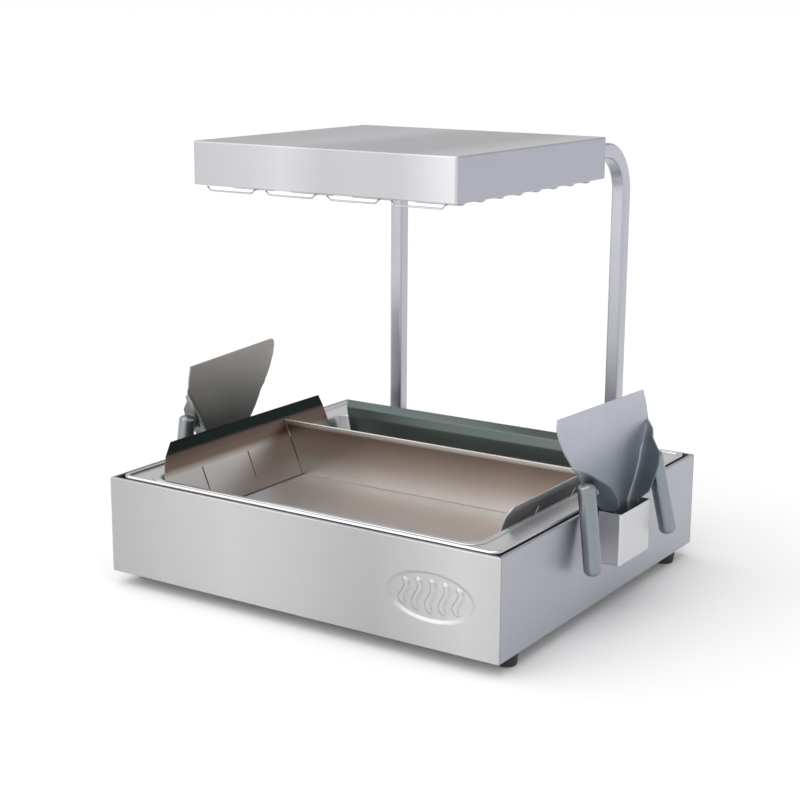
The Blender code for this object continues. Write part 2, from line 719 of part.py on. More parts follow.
def make_control_box():
    """The recessed box behind the window: flange, walls and floor."""
    half_x = CONTROL_WIDTH / 2
    half_z = CONTROL_HEIGHT / 2
    rings = [upright_rectangle(half_x + 0.006, half_z + 0.006, 0.006, RECESS_Y),
             upright_rectangle(half_x - 0.001, half_z - 0.001, 0.004, RECESS_Y),
             upright_rectangle(half_x - 0.001, half_z - 0.001, 0.004,
                               RECESS_Y - CONTROL_RECESS)]
    ring_sheet("control_box", rings, SHEET, STEEL, close_last=True)


def make_rocker():
    """The power switch: a frame, and a rocker that tips about a level pin line."""
    outer = ((-0.0125, -0.0170), (0.0125, -0.0170), (0.0125, 0.0170), (-0.0125, 0.0170))
    inner = ((-0.0090, -0.0135), (0.0090, -0.0135), (0.0090, 0.0135), (-0.0090, 0.0135))
    outline_solid("rocker_frame", [outer, inner], 0.005, ALONG_Y,
                  (ROCKER_X, RECESS_FLOOR + 0.0025, CONTROL_Z), BLACK_PLASTIC)
    section = ((-0.0118, 0.0030), (0.0, 0.0005), (0.0118, 0.0030), (0.0118, -0.0010),
               (0.0030, -0.0030), (-0.0030, -0.0030), (-0.0118, -0.0010))
    rocker = outline_solid("rocker_switch", [[(y, z) for z, y in section]], 0.0172, ALONG_X,
                           (0, 0, 0), BLACK_PLASTIC)
    pivot = Matrix.Translation((ROCKER_X, RECESS_FLOOR + 0.0060, CONTROL_Z))
    rocker.matrix_world = pivot @ Matrix.Rotation(math.radians(ROCKER_TILT), 4, "X") @ ALONG_X


def make_thermostat():
    """The thermostat: its body behind the recess floor and its knob in front."""
    outward = Matrix.Rotation(-math.pi / 2, 4, "X")
    profile = ((0.0, 0.0170), (0.0130, 0.0170), (0.0145, 0.0155), (0.0155, 0.0050),
               (0.0180, 0.0035), (0.0180, 0.0), (0.0, 0.0))
    knob = turned("thermostat_knob", profile, (KNOB_X, RECESS_FLOOR + GAP, CONTROL_Z),
                  BLACK_PLASTIC, segments=20, axes=outward)
    ridge = boxes("knob_ridge", [((KNOB_X - 0.0022, RECESS_FLOOR + 0.010, CONTROL_Z - 0.0128),
                                  (KNOB_X + 0.0022, RECESS_FLOOR + 0.0205,
                                   CONTROL_Z + 0.0128))], None, "cutters")
    cut(knob, ridge, "UNION")
    back = RECESS_FLOOR - SHEET - 2 * GAP
    boxes("thermostat_body", [((KNOB_X - 0.020, back - 0.030, CONTROL_Z - 0.016),
                               (KNOB_X + 0.020, back, CONTROL_Z + 0.016))], BLACK_PLASTIC)


def make_inlet():
    """The socket for a plug-in power lead, with three blades, and the terminal block."""
    half_x = 0.0155
    half_z = 0.0125
    depth = 0.016
    y = RECESS_FLOOR
    inlet = boxes("power_inlet", [((INLET_X - half_x, y, CONTROL_Z - half_z),
                                   (INLET_X + half_x, y + depth, CONTROL_Z + half_z))],
                  BLACK_PLASTIC)
    pocket = boxes("inlet_pocket_cutter",
                   [((INLET_X - half_x + 0.003, y + 0.002, CONTROL_Z - half_z + 0.003),
                     (INLET_X + half_x - 0.003, y + depth + 0.004, CONTROL_Z + half_z - 0.003))],
                   None, "cutters")
    cut(inlet, pocket)
    blades = [((INLET_X + dx - 0.001, y + 0.001, CONTROL_Z + dz - 0.0025),
               (INLET_X + dx + 0.001, y + 0.011, CONTROL_Z + dz + 0.0025))
              for dx, dz in ((-0.007, -0.002), (0.0, 0.002), (0.007, -0.002))]
    cut(inlet, boxes("inlet_blades", blades, None, "cutters"), "UNION")
    low = FOOT_HEIGHT + 2 * SHEET + 2 * GAP
    boxes("terminal_block", [((0.110, 0.238, low), (0.160, 0.262, low + 0.018))], CERAMIC)


def main():
    """Build every piece of the warmer."""
    clear_scene()
    make_panels()
    make_bottom_cover()
    make_feet()
    make_top_deck()
    make_well()
    make_food_pan()
    make_insert()
    for name, side in (("post_left", -1), ("post_right", 1)):
        make_post(name, side)
    make_post_bracket()
    make_hood_shell()
    for number, x in enumerate(strip_centres(), start=1):
        make_strip(number, x)
        make_guard(number, x)
    make_element_supports()
    make_baffle()
    make_scoops()
    make_control_box()
    make_rocker()
    make_thermostat()
    make_inlet()


main()
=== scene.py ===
"""Looks of the heat lamp warmer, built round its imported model.

Units are metres.  +Z is up, the front faces -Y, and X runs left to right.
Every piece is made where the model's own nodes are, and rides on the same body as the node
that it stands for.
"""

import json
import math

import bmesh
import bpy
from mathutils import Matrix, Vector

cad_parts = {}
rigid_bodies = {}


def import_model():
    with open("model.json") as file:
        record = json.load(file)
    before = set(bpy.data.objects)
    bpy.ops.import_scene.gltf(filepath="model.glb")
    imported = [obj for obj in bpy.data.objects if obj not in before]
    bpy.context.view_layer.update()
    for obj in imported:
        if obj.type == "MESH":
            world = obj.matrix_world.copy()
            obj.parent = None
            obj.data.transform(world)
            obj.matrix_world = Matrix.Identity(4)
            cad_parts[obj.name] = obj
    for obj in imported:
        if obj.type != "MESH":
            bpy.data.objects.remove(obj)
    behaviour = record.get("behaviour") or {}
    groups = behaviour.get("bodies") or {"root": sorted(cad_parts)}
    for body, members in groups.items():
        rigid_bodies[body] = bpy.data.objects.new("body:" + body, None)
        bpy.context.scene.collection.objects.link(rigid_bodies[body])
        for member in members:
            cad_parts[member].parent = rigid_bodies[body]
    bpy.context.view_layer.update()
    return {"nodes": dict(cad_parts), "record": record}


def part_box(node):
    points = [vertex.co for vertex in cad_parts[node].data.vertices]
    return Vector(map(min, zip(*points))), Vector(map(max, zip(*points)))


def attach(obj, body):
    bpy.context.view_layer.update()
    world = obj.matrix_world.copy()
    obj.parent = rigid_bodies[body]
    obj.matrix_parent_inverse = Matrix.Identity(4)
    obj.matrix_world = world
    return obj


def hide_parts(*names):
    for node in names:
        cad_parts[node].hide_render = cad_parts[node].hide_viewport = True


for leftover in list(bpy.data.objects):
    bpy.data.objects.remove(leftover, do_unlink=True)

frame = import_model()

BODY = {node: body for body, members in frame["record"]["behaviour"]["bodies"].items()
        for node in members}

# Sheet metal
SHEET = 0.0012
GAP = 0.0003
FOLD_RADIUS = 0.0013
PAN_SHEET = 0.0010
POST_SIZE = 0.023
POST_WALL = 0.0016
POST_BEND_RADIUS = 0.070

# Slots in the insert's wings, cut on a pitch that starts at the divider
SLOT_PITCH = 0.112
SLOT_WIDTH = 0.0024
SLOT_LOW = 0.126
SLOT_HIGH = 0.165
SLOT_X = 0.258
SLOT_REACH = 0.024
SLOT_MARGIN = 0.020
RAKE_BREAK = 0.165

# The studio
FLOOR_REACH = 300.0
SUN_STRENGTH = 1.60
SUN_SPREAD = 90.0

# The camera
CAMERA_PLACE = (1.3078, -2.0431, 0.8428)
CAMERA_YAW = 33.03
CAMERA_PITCH = 13.30
CAMERA_ROLL = 0.36
CAMERA_LENS = 73.67

# The pressed oval on the front panel, with five rising waves in it
OVAL_X = 0.2285
OVAL_Z = 0.0925
OVAL_HALF_WIDTH = 0.0715
OVAL_HALF_HEIGHT = 0.0355
OVAL_DEPTH = 0.0030
OVAL_STEP = 0.0015
WAVE_SPACING = 0.021
WAVE_HALF_HEIGHT = 0.023
WAVE_SWING = 0.0045
WAVE_HALF_WIDTH = 0.0042
WAVE_RISE = 0.0025


# ---------------------------------------------------------------- materials

def new_material(name):
    """An empty node material and its tree."""
    made = bpy.data.materials.new(name)
    made.use_nodes = True
    return made, made.node_tree


def node(tree, kind, **values):
    """A shader node with its settings and unlinked inputs set."""
    made = tree.nodes.new(kind)
    for key, value in values.items():
        if key in made.inputs:
            made.inputs[key].default_value = value
        else:
            setattr(made, key, value)
    return made


def noise(tree, scale, detail=3.0, stretch=(1, 1, 1), turn=(0, 0, 0)):
    """Noise in the object's own space, stretched along an axis; gives the value socket."""
    place = node(tree, "ShaderNodeTexCoord").outputs["Object"]
    mapping = node(tree, "ShaderNodeMapping", Scale=stretch, Rotation=turn)
    texture = node(tree, "ShaderNodeTexNoise", Scale=scale, Detail=detail, Roughness=0.6)
    tree.links.new(place, mapping.inputs["Vector"])
    tree.links.new(mapping.outputs["Vector"], texture.inputs["Vector"])
    return texture.outputs["Fac"]


def ramp(tree, value, *stops):
    """A colour ramp over a value, from (place, colour or grey) stops; gives the colour socket."""
    made = tree.nodes.new("ShaderNodeValToRGB")
    tree.links.new(value, made.inputs["Fac"])
    elements = made.color_ramp.elements
    while len(elements) < len(stops):
        elements.new(0.5)
    for element, (place, colour) in zip(elements, stops):
        element.position = place
        shade = colour if isinstance(colour, tuple) else (colour,) * 3
        element.color = (*shade, 1.0)
    return made.outputs["Color"]


def feed(tree, value, socket):
    """Set an input from a socket, a colour or a number."""
    if isinstance(value, bpy.types.NodeSocket):
        tree.links.new(value, socket)
    else:
        socket.default_value = (*value, 1.0) if isinstance(value, tuple) else value


def mix(tree, factor, first, second, blend="MIX"):
    """Mix of two colours by a number or a socket; gives the colour socket."""
    made = node(tree, "ShaderNodeMix", data_type="RGBA", blend_type=blend)
    for index, value in ((0, factor), (6, first), (7, second)):
        feed(tree, value, made.inputs[index])
    return made.outputs[2]


def calc(tree, operation, first, second=0.0, third=0.0):
    """A sum between sockets and numbers; gives the value socket."""
    made = node(tree, "ShaderNodeMath", operation=operation)
    for index, value in enumerate((first, second, third)):
        feed(tree, value, made.inputs[index])
    return made.outputs[0]


def toned(colour, factor, lift=0.0, most=1.0):
    """A colour made darker or lighter, up to a limit."""
    return tuple(min(c * factor + lift, most) for c in colour)


def finish_material(made, colour, rough, metal=0.0, relief=None):
    """A material with its colour, roughness, share of metal and relief joined to its shader."""
    tree = made.node_tree
    shader = tree.nodes["Principled BSDF"]
    for key, value in (("Base Color", colour), ("Roughness", rough), ("Metallic", metal)):
        feed(tree, value, shader.inputs[key])
    if relief:
        height, strength, distance = relief
        bump = node(tree, "ShaderNodeBump", Strength=strength, Distance=distance)
        tree.links.new(height, bump.inputs["Height"])
        tree.links.new(bump.outputs["Normal"], shader.inputs["Normal"])
    return made


def edge_polish(tree, colour, bright, low=0.515, high=0.56):
    """Lighten a colour where edges stand out and rub clean."""
    point = node(tree, "ShaderNodeNewGeometry").outputs["Pointiness"]
    worn = ramp(tree, point, (low, 0.0), (high, 1.0))
    return mix(tree, worn, colour, bright)


def brushed_steel(name, colour, roughness, grain, painted_sheen=0.06, relief=0.10, heat_tint_and_painted_light=None):
    """Brushed sheet: long fine grain along one axis, soft bands of painted sheen, smudges and fine
    scratches.
    """
    made, tree = new_material(name)
    fine = tuple(14.0 if axis == grain else 900.0 for axis in "XYZ")
    long_streak = tuple(3.0 if axis == grain else 160.0 for axis in "XYZ")
    across = tuple(5.5 if axis == grain else 0.6 for axis in "XYZ")
    grain_value = noise(tree, 1.0, 4.0, fine)
    streaks = noise(tree, 1.0, 3.0, long_streak)
    sheen_noise = noise(tree, 1.0, 1.0, across)
    smudge = noise(tree, 9.0, 4.0)
    scratch = noise(tree, 1.0, 2.0, (30.0, 1400.0, 1400.0), (0.3, 0.5, 0.7))
    dark = toned(colour, 0.94)
    light = toned(colour, 1.04, most=0.98)
    shade = mix(tree, grain_value, dark, light)
    shade = mix(tree, ramp(tree, streaks, (0.35, 0.0), (0.65, 0.20)), shade, light)
    # Soft bands across the grain are painted sheen, standing in for bands of reflection.
    painted_sheen_shade = ramp(tree, sheen_noise, (0.30, 1.0 - painted_sheen), (0.70, 1.0))
    shade = mix(tree, 1.0, shade, painted_sheen_shade, "MULTIPLY")
    shade = mix(tree, ramp(tree, smudge, (0.55, 0.0), (0.75, 0.18)), shade, dark)
    # A colour hook: heat colours on the insert, painted sheen on the long panels, and painted sheen
    # with painted shade on the hood.
    if heat_tint_and_painted_light:
        shade = heat_tint_and_painted_light(tree, shade)
    rough = calc(tree, "MULTIPLY_ADD", grain_value, 0.10, roughness - 0.05)
    rough = calc(tree, "ADD", rough, calc(tree, "MULTIPLY", smudge, 0.08))
    rough = calc(tree, "ADD", rough, ramp_value(tree, scratch, 0.70, 0.78, 0.06))
    return finish_material(made, shade, rough, 1.0, (grain_value, relief, 0.0002))


def ramp_value(tree, value, low, high, top):
    """A number that rises from nothing to a top value over a range."""
    made = node(tree, "ShaderNodeMapRange")
    for key, number in (("From Min", low), ("From Max", high), ("To Min", 0.0), ("To Max", top)):
        made.inputs[key].default_value = number
    tree.links.new(value, made.inputs["Value"])
    return made.outputs["Result"]


def coordinate(tree, axis, kind="TexCoord", output="Object"):
    """One coordinate of the object's own space, or of another vector, as a socket."""
    split = node(tree, "ShaderNodeSeparateXYZ")
    tree.links.new(node(tree, "ShaderNode" + kind).outputs[output], split.inputs["Vector"])
    return split.outputs[axis]


def tinted(tree, shade, value, low, high, *stops):
    """A shade multiplied by a colour ramp that spans a range of a value."""
    span = ramp_value(tree, value, low, high, 1.0)
    return mix(tree, 1.0, shade, ramp(tree, span, *stops), "MULTIPLY")


def painted_sheen_bands(tree, shade):
    """Painted sheen: broad soft bands across a long panel, brighter and duller, standing in for
    bands of reflection.
    """
    return tinted(tree, shade, coordinate(tree, "X"), -0.335, 0.335, (0.0, 0.80), (0.34, 1.0),
                  (0.70, 0.76), (0.92, 1.0), (1.0, 0.94))


def hood_painted_sheen_and_shade(tree, shade):
    """Painted sheen: broad soft bands along the hood; painted shade: its ends darker and bluer, by
    the way they face.
    """
    shade = tinted(tree, shade, coordinate(tree, "X"), -0.22, 0.22, (0.0, 0.88), (0.22, 0.92),
                   (0.36, 1.0), (0.52, 0.80), (0.80, 0.80), (0.97, 1.06))
    painted_side_shade = calc(tree, "ABSOLUTE", coordinate(tree, "X", "NewGeometry", "True Normal"))
    return tinted(tree, shade, painted_side_shade, 0.6, 0.9, (0.0, 1.0), (1.0, (0.70, 0.71, 0.78)))


def wing_tint(tree, shade):
    """Brown heat colours on the upper band of the left wing, and nearly black on its flange."""
    return tinted(tree, shade, coordinate(tree, "Z"), 0.10, 0.22, (0.10, (1.0, 1.0, 1.0)),
                  (0.54, (1.0, 0.97, 0.94)), (0.63, (0.36, 0.26, 0.21)),
                  (0.77, (0.22, 0.165, 0.14)), (0.81, (0.022, 0.036, 0.030)))


def back_wall_tint(tree, shade):
    """Darker and greener towards the top of the wall at the back of the insert."""
    return tinted(tree, shade, coordinate(tree, "Z"), 0.10, 0.20, (0.0, (0.50, 0.52, 0.50)),
                  (0.55, (0.22, 0.26, 0.25)), (1.0, (0.14, 0.17, 0.165)))


def divider_tint(tree, shade):
    """Straw and brown heat colours over the whole divider, with a cleaner hem."""
    return tinted(tree, shade, coordinate(tree, "Z"), 0.10, 0.20, (0.10, (0.80, 0.76, 0.73)),
                  (0.45, (0.52, 0.43, 0.38)), (0.84, (0.34, 0.25, 0.20)),
                  (0.89, (1.0, 0.97, 0.94)))


def along(tree, matrix, axis):
    """Distance along one axis of a placed frame, as a socket."""
    direction = matrix.to_3x3().col[axis]
    place = node(tree, "ShaderNodeTexCoord").outputs["Object"]
    dot = node(tree, "ShaderNodeVectorMath", operation="DOT_PRODUCT")
    dot.inputs[1].default_value = direction
    tree.links.new(place, dot.inputs[0])
    return calc(tree, "SUBTRACT", dot.outputs["Value"], direction.dot(matrix.translation))


def scoop_painted_shade(matrix, *stops):
    """Painted shade: darker, greener metal toward the spout and on the side walls, standing in for
    the shade and dark reflections there.
    """
    def tint(tree, shade):
        shade = tinted(tree, shade, along(tree, matrix, 1), -0.03, 0.15, *stops)
        return tinted(tree, shade, along(tree, matrix, 2), 0.002, 0.020, (0.0, (1.0, 1.0, 1.0)),
                      (0.6, (0.60, 0.64, 0.63)), (1.0, (0.50, 0.55, 0.54)))

    return tint


def cast_aluminium(name, colour, roughness, tint=None):
    """Sand-cast and tumbled aluminium: fine pitting, cloudy oxide, rubbed edges and scuffs."""
    made, tree = new_material(name)
    cloud = noise(tree, 14.0, 5.0)
    pits = noise(tree, 900.0, 3.0)
    scuff = noise(tree, 1.0, 2.0, (60.0, 900.0, 900.0), (0.2, 0.9, 0.4))
    light = toned(colour, 1.05, most=0.95)
    shade = mix(tree, ramp(tree, cloud, (0.30, 0.0), (0.74, 1.0)), toned(colour, 0.92), light)
    shade = mix(tree, ramp(tree, pits, (0.30, 0.50), (0.50, 0.0)), shade, toned(colour, 0.80))
    shade = edge_polish(tree, shade, light)
    if tint:
        shade = tint(tree, shade)
    rough = calc(tree, "ADD", calc(tree, "MULTIPLY", cloud, 0.06), roughness - 0.03)
    rough = calc(tree, "SUBTRACT", rough, ramp_value(tree, scuff, 0.66, 0.76, 0.06))
    return finish_material(made, shade, rough, 0.92, (pits, 0.18, 0.0003))


def moulded(name, colour, roughness, grain=1400.0, strength=0.15, dust=0.10, coat=0.0):
    """Moulded plastic or rubber: fine texture, worn edges and a little dust."""
    made, tree = new_material(name)
    texture = noise(tree, grain, 3.0)
    patches = noise(tree, 28.0, 4.0)
    pale = toned(colour, 1.0, 0.10, 0.9)
    shade = mix(tree, ramp(tree, patches, (0.45, 0.0), (0.80, dust)), colour, pale)
    shade = mix(tree, ramp(tree, texture, (0.30, 0.25), (0.60, 0.0)), shade, toned(colour, 0.7))
    shade = edge_polish(tree, shade, toned(colour, 1.6, 0.02, 0.9))
    rough = calc(tree, "ADD", calc(tree, "MULTIPLY", patches, 0.16), roughness - 0.08)
    tree.nodes["Principled BSDF"].inputs["Coat Weight"].default_value = coat
    return finish_material(made, shade, rough, relief=(texture, strength, 0.0003))


def heat_sheath(name):
    """The element's sheath: oxide brown and blue-grey bands along its length."""
    made, tree = new_material(name)
    oxide = noise(tree, 1.0, 4.0, (30.0, 9.0, 30.0))
    speck = noise(tree, 1600.0, 2.0)
    shade = ramp(tree, oxide, (0.30, (0.10, 0.085, 0.08)), (0.45, (0.20, 0.15, 0.12)),
                 (0.60, (0.17, 0.17, 0.19)), (0.75, (0.28, 0.25, 0.22)))
    rough = calc(tree, "ADD", calc(tree, "MULTIPLY", speck, 0.25), 0.32)
    return finish_material(made, shade, rough, 0.8, (speck, 0.2, 0.0002))


def fibre_wool(name, colour):
    """Mineral wool: matted fibres, with painted shade for its hollows."""
    made, tree = new_material(name)
    fibres = noise(tree, 1.0, 6.0, (900.0, 140.0, 420.0), (0.4, 0.2, 0.8))
    hollow_shade = noise(tree, 60.0, 4.0)
    shade = mix(tree, fibres, toned(colour, 0.6), colour)
    # Painted shade: darker clumps stand in for shade in the hollows.
    shade = mix(tree, ramp(tree, hollow_shade, (0.35, 0.5), (0.6, 0.0)), shade, toned(colour, 0.45))
    return finish_material(made, shade, 0.95, relief=(fibres, 0.8, 0.002))


def make_materials():
    """One material for each kind of surface, with its grain running along the real sheet."""
    bright = (0.70, 0.70, 0.71)
    return {
        # The front and back panels carry painted sheen bands.
        "panel_x": brushed_steel("panel steel, grain along X", (0.60, 0.59, 0.60), 0.38, "X",
                                 0.05, 0.06, painted_sheen_bands),
        # The side panels are the panel steel made darker and bluer: painted shade.
        "shaded_panel_y": brushed_steel("panel steel, grain along Y, painted shade", (0.46, 0.47, 0.515), 0.38, "Y", 0.06),
        "deck": brushed_steel("deck steel", bright, 0.22, "X", 0.05),
        "inner": brushed_steel("mill finish steel", (0.56, 0.56, 0.57), 0.42, "X", 0.10),
        "pan": brushed_steel("pan steel", bright, 0.30, "Y", 0.05, 0.02),
        "wing": brushed_steel("insert steel", (0.68, 0.67, 0.66), 0.26, "Y", 0.10,
                              heat_tint_and_painted_light=wing_tint),
        # The right wing is free of heat colours, and its lighter steel is painted light.
        "wing_right": brushed_steel("clean insert steel, painted light", (0.86, 0.86, 0.87), 0.40, "Y", 0.06),
        "back_wall": brushed_steel("back wall steel", (0.66, 0.67, 0.66), 0.28, "X", 0.08,
                                   heat_tint_and_painted_light=back_wall_tint),
        "divider": brushed_steel("divider steel", (0.64, 0.62, 0.60), 0.28, "X", 0.10,
                                 heat_tint_and_painted_light=divider_tint),
        "post": brushed_steel("post steel", (0.50, 0.505, 0.56), 0.28, "Z", 0.08),
        # The hood carries painted sheen bands, and painted shade on its ends.
        "hood": brushed_steel("hood steel", (0.60, 0.60, 0.625), 0.36, "X", 0.05, 0.06,
                              hood_painted_sheen_and_shade),
        "reflector": brushed_steel("reflector aluminium", (0.84, 0.84, 0.85), 0.12, "Y", 0.05,
                                   0.04),
        "chrome": brushed_steel("plated wire", (0.52, 0.53, 0.54), 0.18, "Y", 0.05, 0.03),
        "fastener": brushed_steel("plated fasteners", (0.66, 0.66, 0.67), 0.24, "Z", 0.05, 0.05),
        "holder": brushed_steel("holder steel", (0.66, 0.66, 0.68), 0.34, "Z", 0.06),
        # The grips' aluminium is darkened to stand in for the dark surroundings they reflect:
        # painted shade.
        "handle": cast_aluminium("handle aluminium, painted shade", (0.28, 0.31, 0.325), 0.28),
        "rubber": moulded("foot rubber", (0.022, 0.024, 0.024), 0.70, 900.0, 0.3, 0.25),
        "plastic": moulded("black plastic", (0.028, 0.028, 0.032), 0.42),
        "knob": moulded("knob plastic", (0.030, 0.030, 0.034), 0.34, 1800.0, 0.10),
        "rocker": moulded("rocker plastic", (0.40, 0.022, 0.018), 0.24, 2200.0, 0.05, 0.05, 0.3),
        "silicone": moulded("silicone rubber", (0.40, 0.115, 0.065), 0.60, 700.0, 0.4),
        "ceramic": moulded("unglazed ceramic", (0.76, 0.73, 0.66), 0.70, 1100.0, 0.25, 0.05),
        "mark": moulded("printed marks", (0.80, 0.80, 0.78), 0.50, 1600.0, 0.05, 0.05),
        "sheath": heat_sheath("element sheath"),
        "wool": fibre_wool("mineral wool", (0.72, 0.66, 0.40)),
        "spreader": brushed_steel("spreader aluminium", (0.72, 0.72, 0.73), 0.38, "X", 0.08),
        "bulb": brushed_steel("sensing bulb copper", (0.74, 0.42, 0.28), 0.30, "X", 0.10),
    }


# ---------------------------------------------------------------- mesh helpers

def round_corner(start, corner, end, t):
    """A point on the soft curve that takes the place of a corner between two points."""
    return start * (1 - t) ** 2 + corner * (2 * t * (1 - t)) + end * t ** 2


def rounded_line(points, radii, steps=5):
    """A flat open line of (a, b) points whose inner corners are rounded to the given radii."""
    line = [points[0]]
    for before, corner, after, radius in zip(points, points[1:], points[2:], radii):
        here = Vector(corner)
        back = Vector(before) - here
        ahead = Vector(after) - here
        half = back.angle(ahead) / 2
        reach = min(radius / math.tan(half), back.length * 0.49, ahead.length * 0.49)
        start = here + back.normalized() * reach
        end = here + ahead.normalized() * reach
        for step in range(steps + 1):
            line.append(tuple(round_corner(start, here, end, step / steps)))
    return line + [points[-1]]


def ease(value):
    """Smooth step from 0 to 1."""
    t = min(max(value, 0.0), 1.0)
    return t * t * (3 - 2 * t)


def between(value, table):
    """Straight interpolation in a table of (key, number) rows."""
    if value <= table[0][0]:
        return table[0][1]
    for (low, first), (high, second) in zip(table, table[1:]):
        if value <= high:
            return first + (second - first) * (value - low) / (high - low)
    return table[-1][1]


def rounded_rectangle(half_x, front, back, radius, z, steps=8):
    """Points of a level rectangle with round corners, counter-clockwise from above."""
    centres = ((half_x - radius, back - radius), (radius - half_x, back - radius),
               (radius - half_x, front + radius), (half_x - radius, front + radius))
    points = []
    for corner, (x, y) in enumerate(centres):
        for step in range(steps + 1):
            angle = math.pi / 2 * (corner + step / steps)
            points.append((x + radius * math.cos(angle), y + radius * math.sin(angle), z))
    return points


def surface(bm, rows, closed=False, cap_last=False, cap_first=False):
    """Faces over rows with equal numbers of points."""
    grid = [[bm.verts.new(point) for point in row] for row in rows]
    for near, far in zip(grid, grid[1:]):
        count = len(near)
        for i in range(count if closed else count - 1):
            j = (i + 1) % count
            bm.faces.new((near[i], near[j], far[j], far[i]))
    if cap_last:
        bm.faces.new(grid[-1])
    if cap_first:
        bm.faces.new(list(reversed(grid[0])))
    return grid


def add_object(name, data):
    """A new object in the scene."""
    obj = bpy.data.objects.new(name, data)
    bpy.context.scene.collection.objects.link(obj)
    return obj


def to_object(name, bm, look):
    """An object in the scene from a bmesh, smooth shaded, with its faces turned outward."""
    bmesh.ops.recalc_face_normals(bm, faces=bm.faces)
    mesh = bpy.data.meshes.new(name)
    bm.to_mesh(mesh)
    bm.free()
    mesh.materials.append(look)
    mesh.shade_smooth()
    return add_object(name, mesh)


def skin(name, rows, look, closed=True, cap_last=True, cap_first=True):
    """An object whose faces run over rows of points."""
    bm = bmesh.new()
    surface(bm, rows, closed, cap_last, cap_first)
    return to_object(name, bm, look)


def thicken(obj, thickness):
    """Give an open sheet its thickness, half to each side."""
    modifier = obj.modifiers.new("Sheet", "SOLIDIFY")
    modifier.thickness = thickness
    modifier.offset = 0.0
    modifier.use_even_offset = True
    modifier.use_quality_normals = True


def keep_flats(obj):
    """Shade the flats as flat, beside the smooth bends."""
    obj.modifiers.new("Flat normals", "WEIGHTED_NORMAL").keep_sharp = True


def soften(obj, width, segments=2, angle=38.0):
    """Break the sharp edges and keep the flats flat."""
    modifier = obj.modifiers.new("Broken edges", "BEVEL")
    modifier.width = width
    modifier.segments = segments
    modifier.limit_method = "ANGLE"
    modifier.angle_limit = math.radians(angle)
    modifier.use_clamp_overlap = True
    keep_flats(obj)


def block(bm, size, move):
    """Add a box of a size to a bmesh, placed by a matrix."""
    made = bmesh.ops.create_cube(bm, size=1.0)
    bmesh.ops.scale(bm, vec=size, verts=made["verts"])
    bmesh.ops.transform(bm, matrix=move, verts=made["verts"])


def carve(obj, spans, operation="DIFFERENCE"):
    """Cut boxes, each given by two corners, out of a piece, or join them to it, for good."""
    bm = bmesh.new()
    for low, high in spans:
        block(bm, Vector(high) - Vector(low),
              Matrix.Translation((Vector(high) + Vector(low)) / 2))
    tool = to_object("tool", bm, None)
    modifier = obj.modifiers.new("Carve", "BOOLEAN")
    modifier.operation = operation
    modifier.solver = "EXACT"
    modifier.object = tool
    bpy.context.view_layer.update()
    shown = obj.evaluated_get(bpy.context.evaluated_depsgraph_get())
    mesh = bpy.data.meshes.new_from_object(shown)
    obj.modifiers.clear()
    obj.data = mesh
    mesh.shade_smooth()
    bpy.data.objects.remove(tool, do_unlink=True)


def goes_with(obj, body_node):
    """A small extra piece rides on one node's body."""
    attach(obj, BODY[body_node])


def stands_for(obj, cad_node):
    """A piece takes the place of a node: it rides on the node's body, and the node is hidden."""
    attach(obj, BODY[cad_node])
    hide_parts(cad_node)
    return obj


def sheet_piece(cad_node, rows, thickness, look, closed=False, cap_last=False, cuts=(),
                edge=0.00035):
    """A pressed or folded sheet through rows of points, cut by boxes, with broken edges."""
    obj = skin(cad_node + "_sheet", rows, look, closed, cap_last, False)
    thicken(obj, thickness)
    if cuts:
        carve(obj, cuts)
    soften(obj, edge)
    return stands_for(obj, cad_node)


def turned_rows(profile, segments, place, axis="Z", flutes=0, depth=0.0):
    """Rings of a turned shape about an axis through a place, with flutes if wanted."""
    turn = {"X": Matrix.Rotation(math.pi / 2, 4, "Y"), "Y": Matrix.Rotation(-math.pi / 2, 4, "X"),
            "Z": Matrix.Identity(4)}[axis]
    move = Matrix.Translation(place) @ turn
    rows = []
    for radius, height in profile:
        row = []
        for i in range(segments):
            angle = 2 * math.pi * i / segments
            wave = 1 - depth * max(0.0, math.cos(flutes * angle)) ** 2 if flutes else 1.0
            row.append(move @ Vector((radius * wave * math.cos(angle),
                                      radius * wave * math.sin(angle), height)))
        rows.append(row)
    return rows


def turned_piece(cad_node, profile, place, look, axis="Z", segments=48):
    """A turned piece from a profile of (radius, height) rows, closed at both ends."""
    obj = skin(cad_node + "_turned", turned_rows(profile, segments, place, axis), look)
    keep_flats(obj)
    return stands_for(obj, cad_node)


def finish_node(cad_node, look, edge=0.0004):
    """A node whose shape is right stays, with broken edges and a better material."""
    obj = frame["nodes"][cad_node]
    obj.data.materials.clear()
    obj.data.materials.append(look)
    obj.data.shade_smooth()
    weld = obj.modifiers.new("Weld", "WELD")
    weld.merge_threshold = 0.00001
    soften(obj, edge)


# ---------------------------------------------------------------- base

def oval_depth(x, z):
    """How far the front panel is pressed in at a place, for the oval and its raised waves."""
    dx = x - OVAL_X
    dz = z - OVAL_Z
    ring = math.hypot(dx / OVAL_HALF_WIDTH, dz / OVAL_HALF_HEIGHT)
    pressed = ease((1.0 - ring) / 0.13)
    raised = 0.0
    for wave in (-2, -1, 0, 1, 2):
        tall = WAVE_HALF_HEIGHT * math.sqrt(1 - (wave * WAVE_SPACING / OVAL_HALF_WIDTH) ** 2)
        centre = wave * WAVE_SPACING + WAVE_SWING * math.sin(math.pi * dz / tall)
        end = max(abs(dz) - tall + WAVE_HALF_WIDTH, 0.0)
        reach = math.hypot(dx - centre, end) / WAVE_HALF_WIDTH
        raised = max(raised, ease((1.25 - reach) / 0.6))
    return OVAL_DEPTH * pressed - WAVE_RISE * raised * pressed


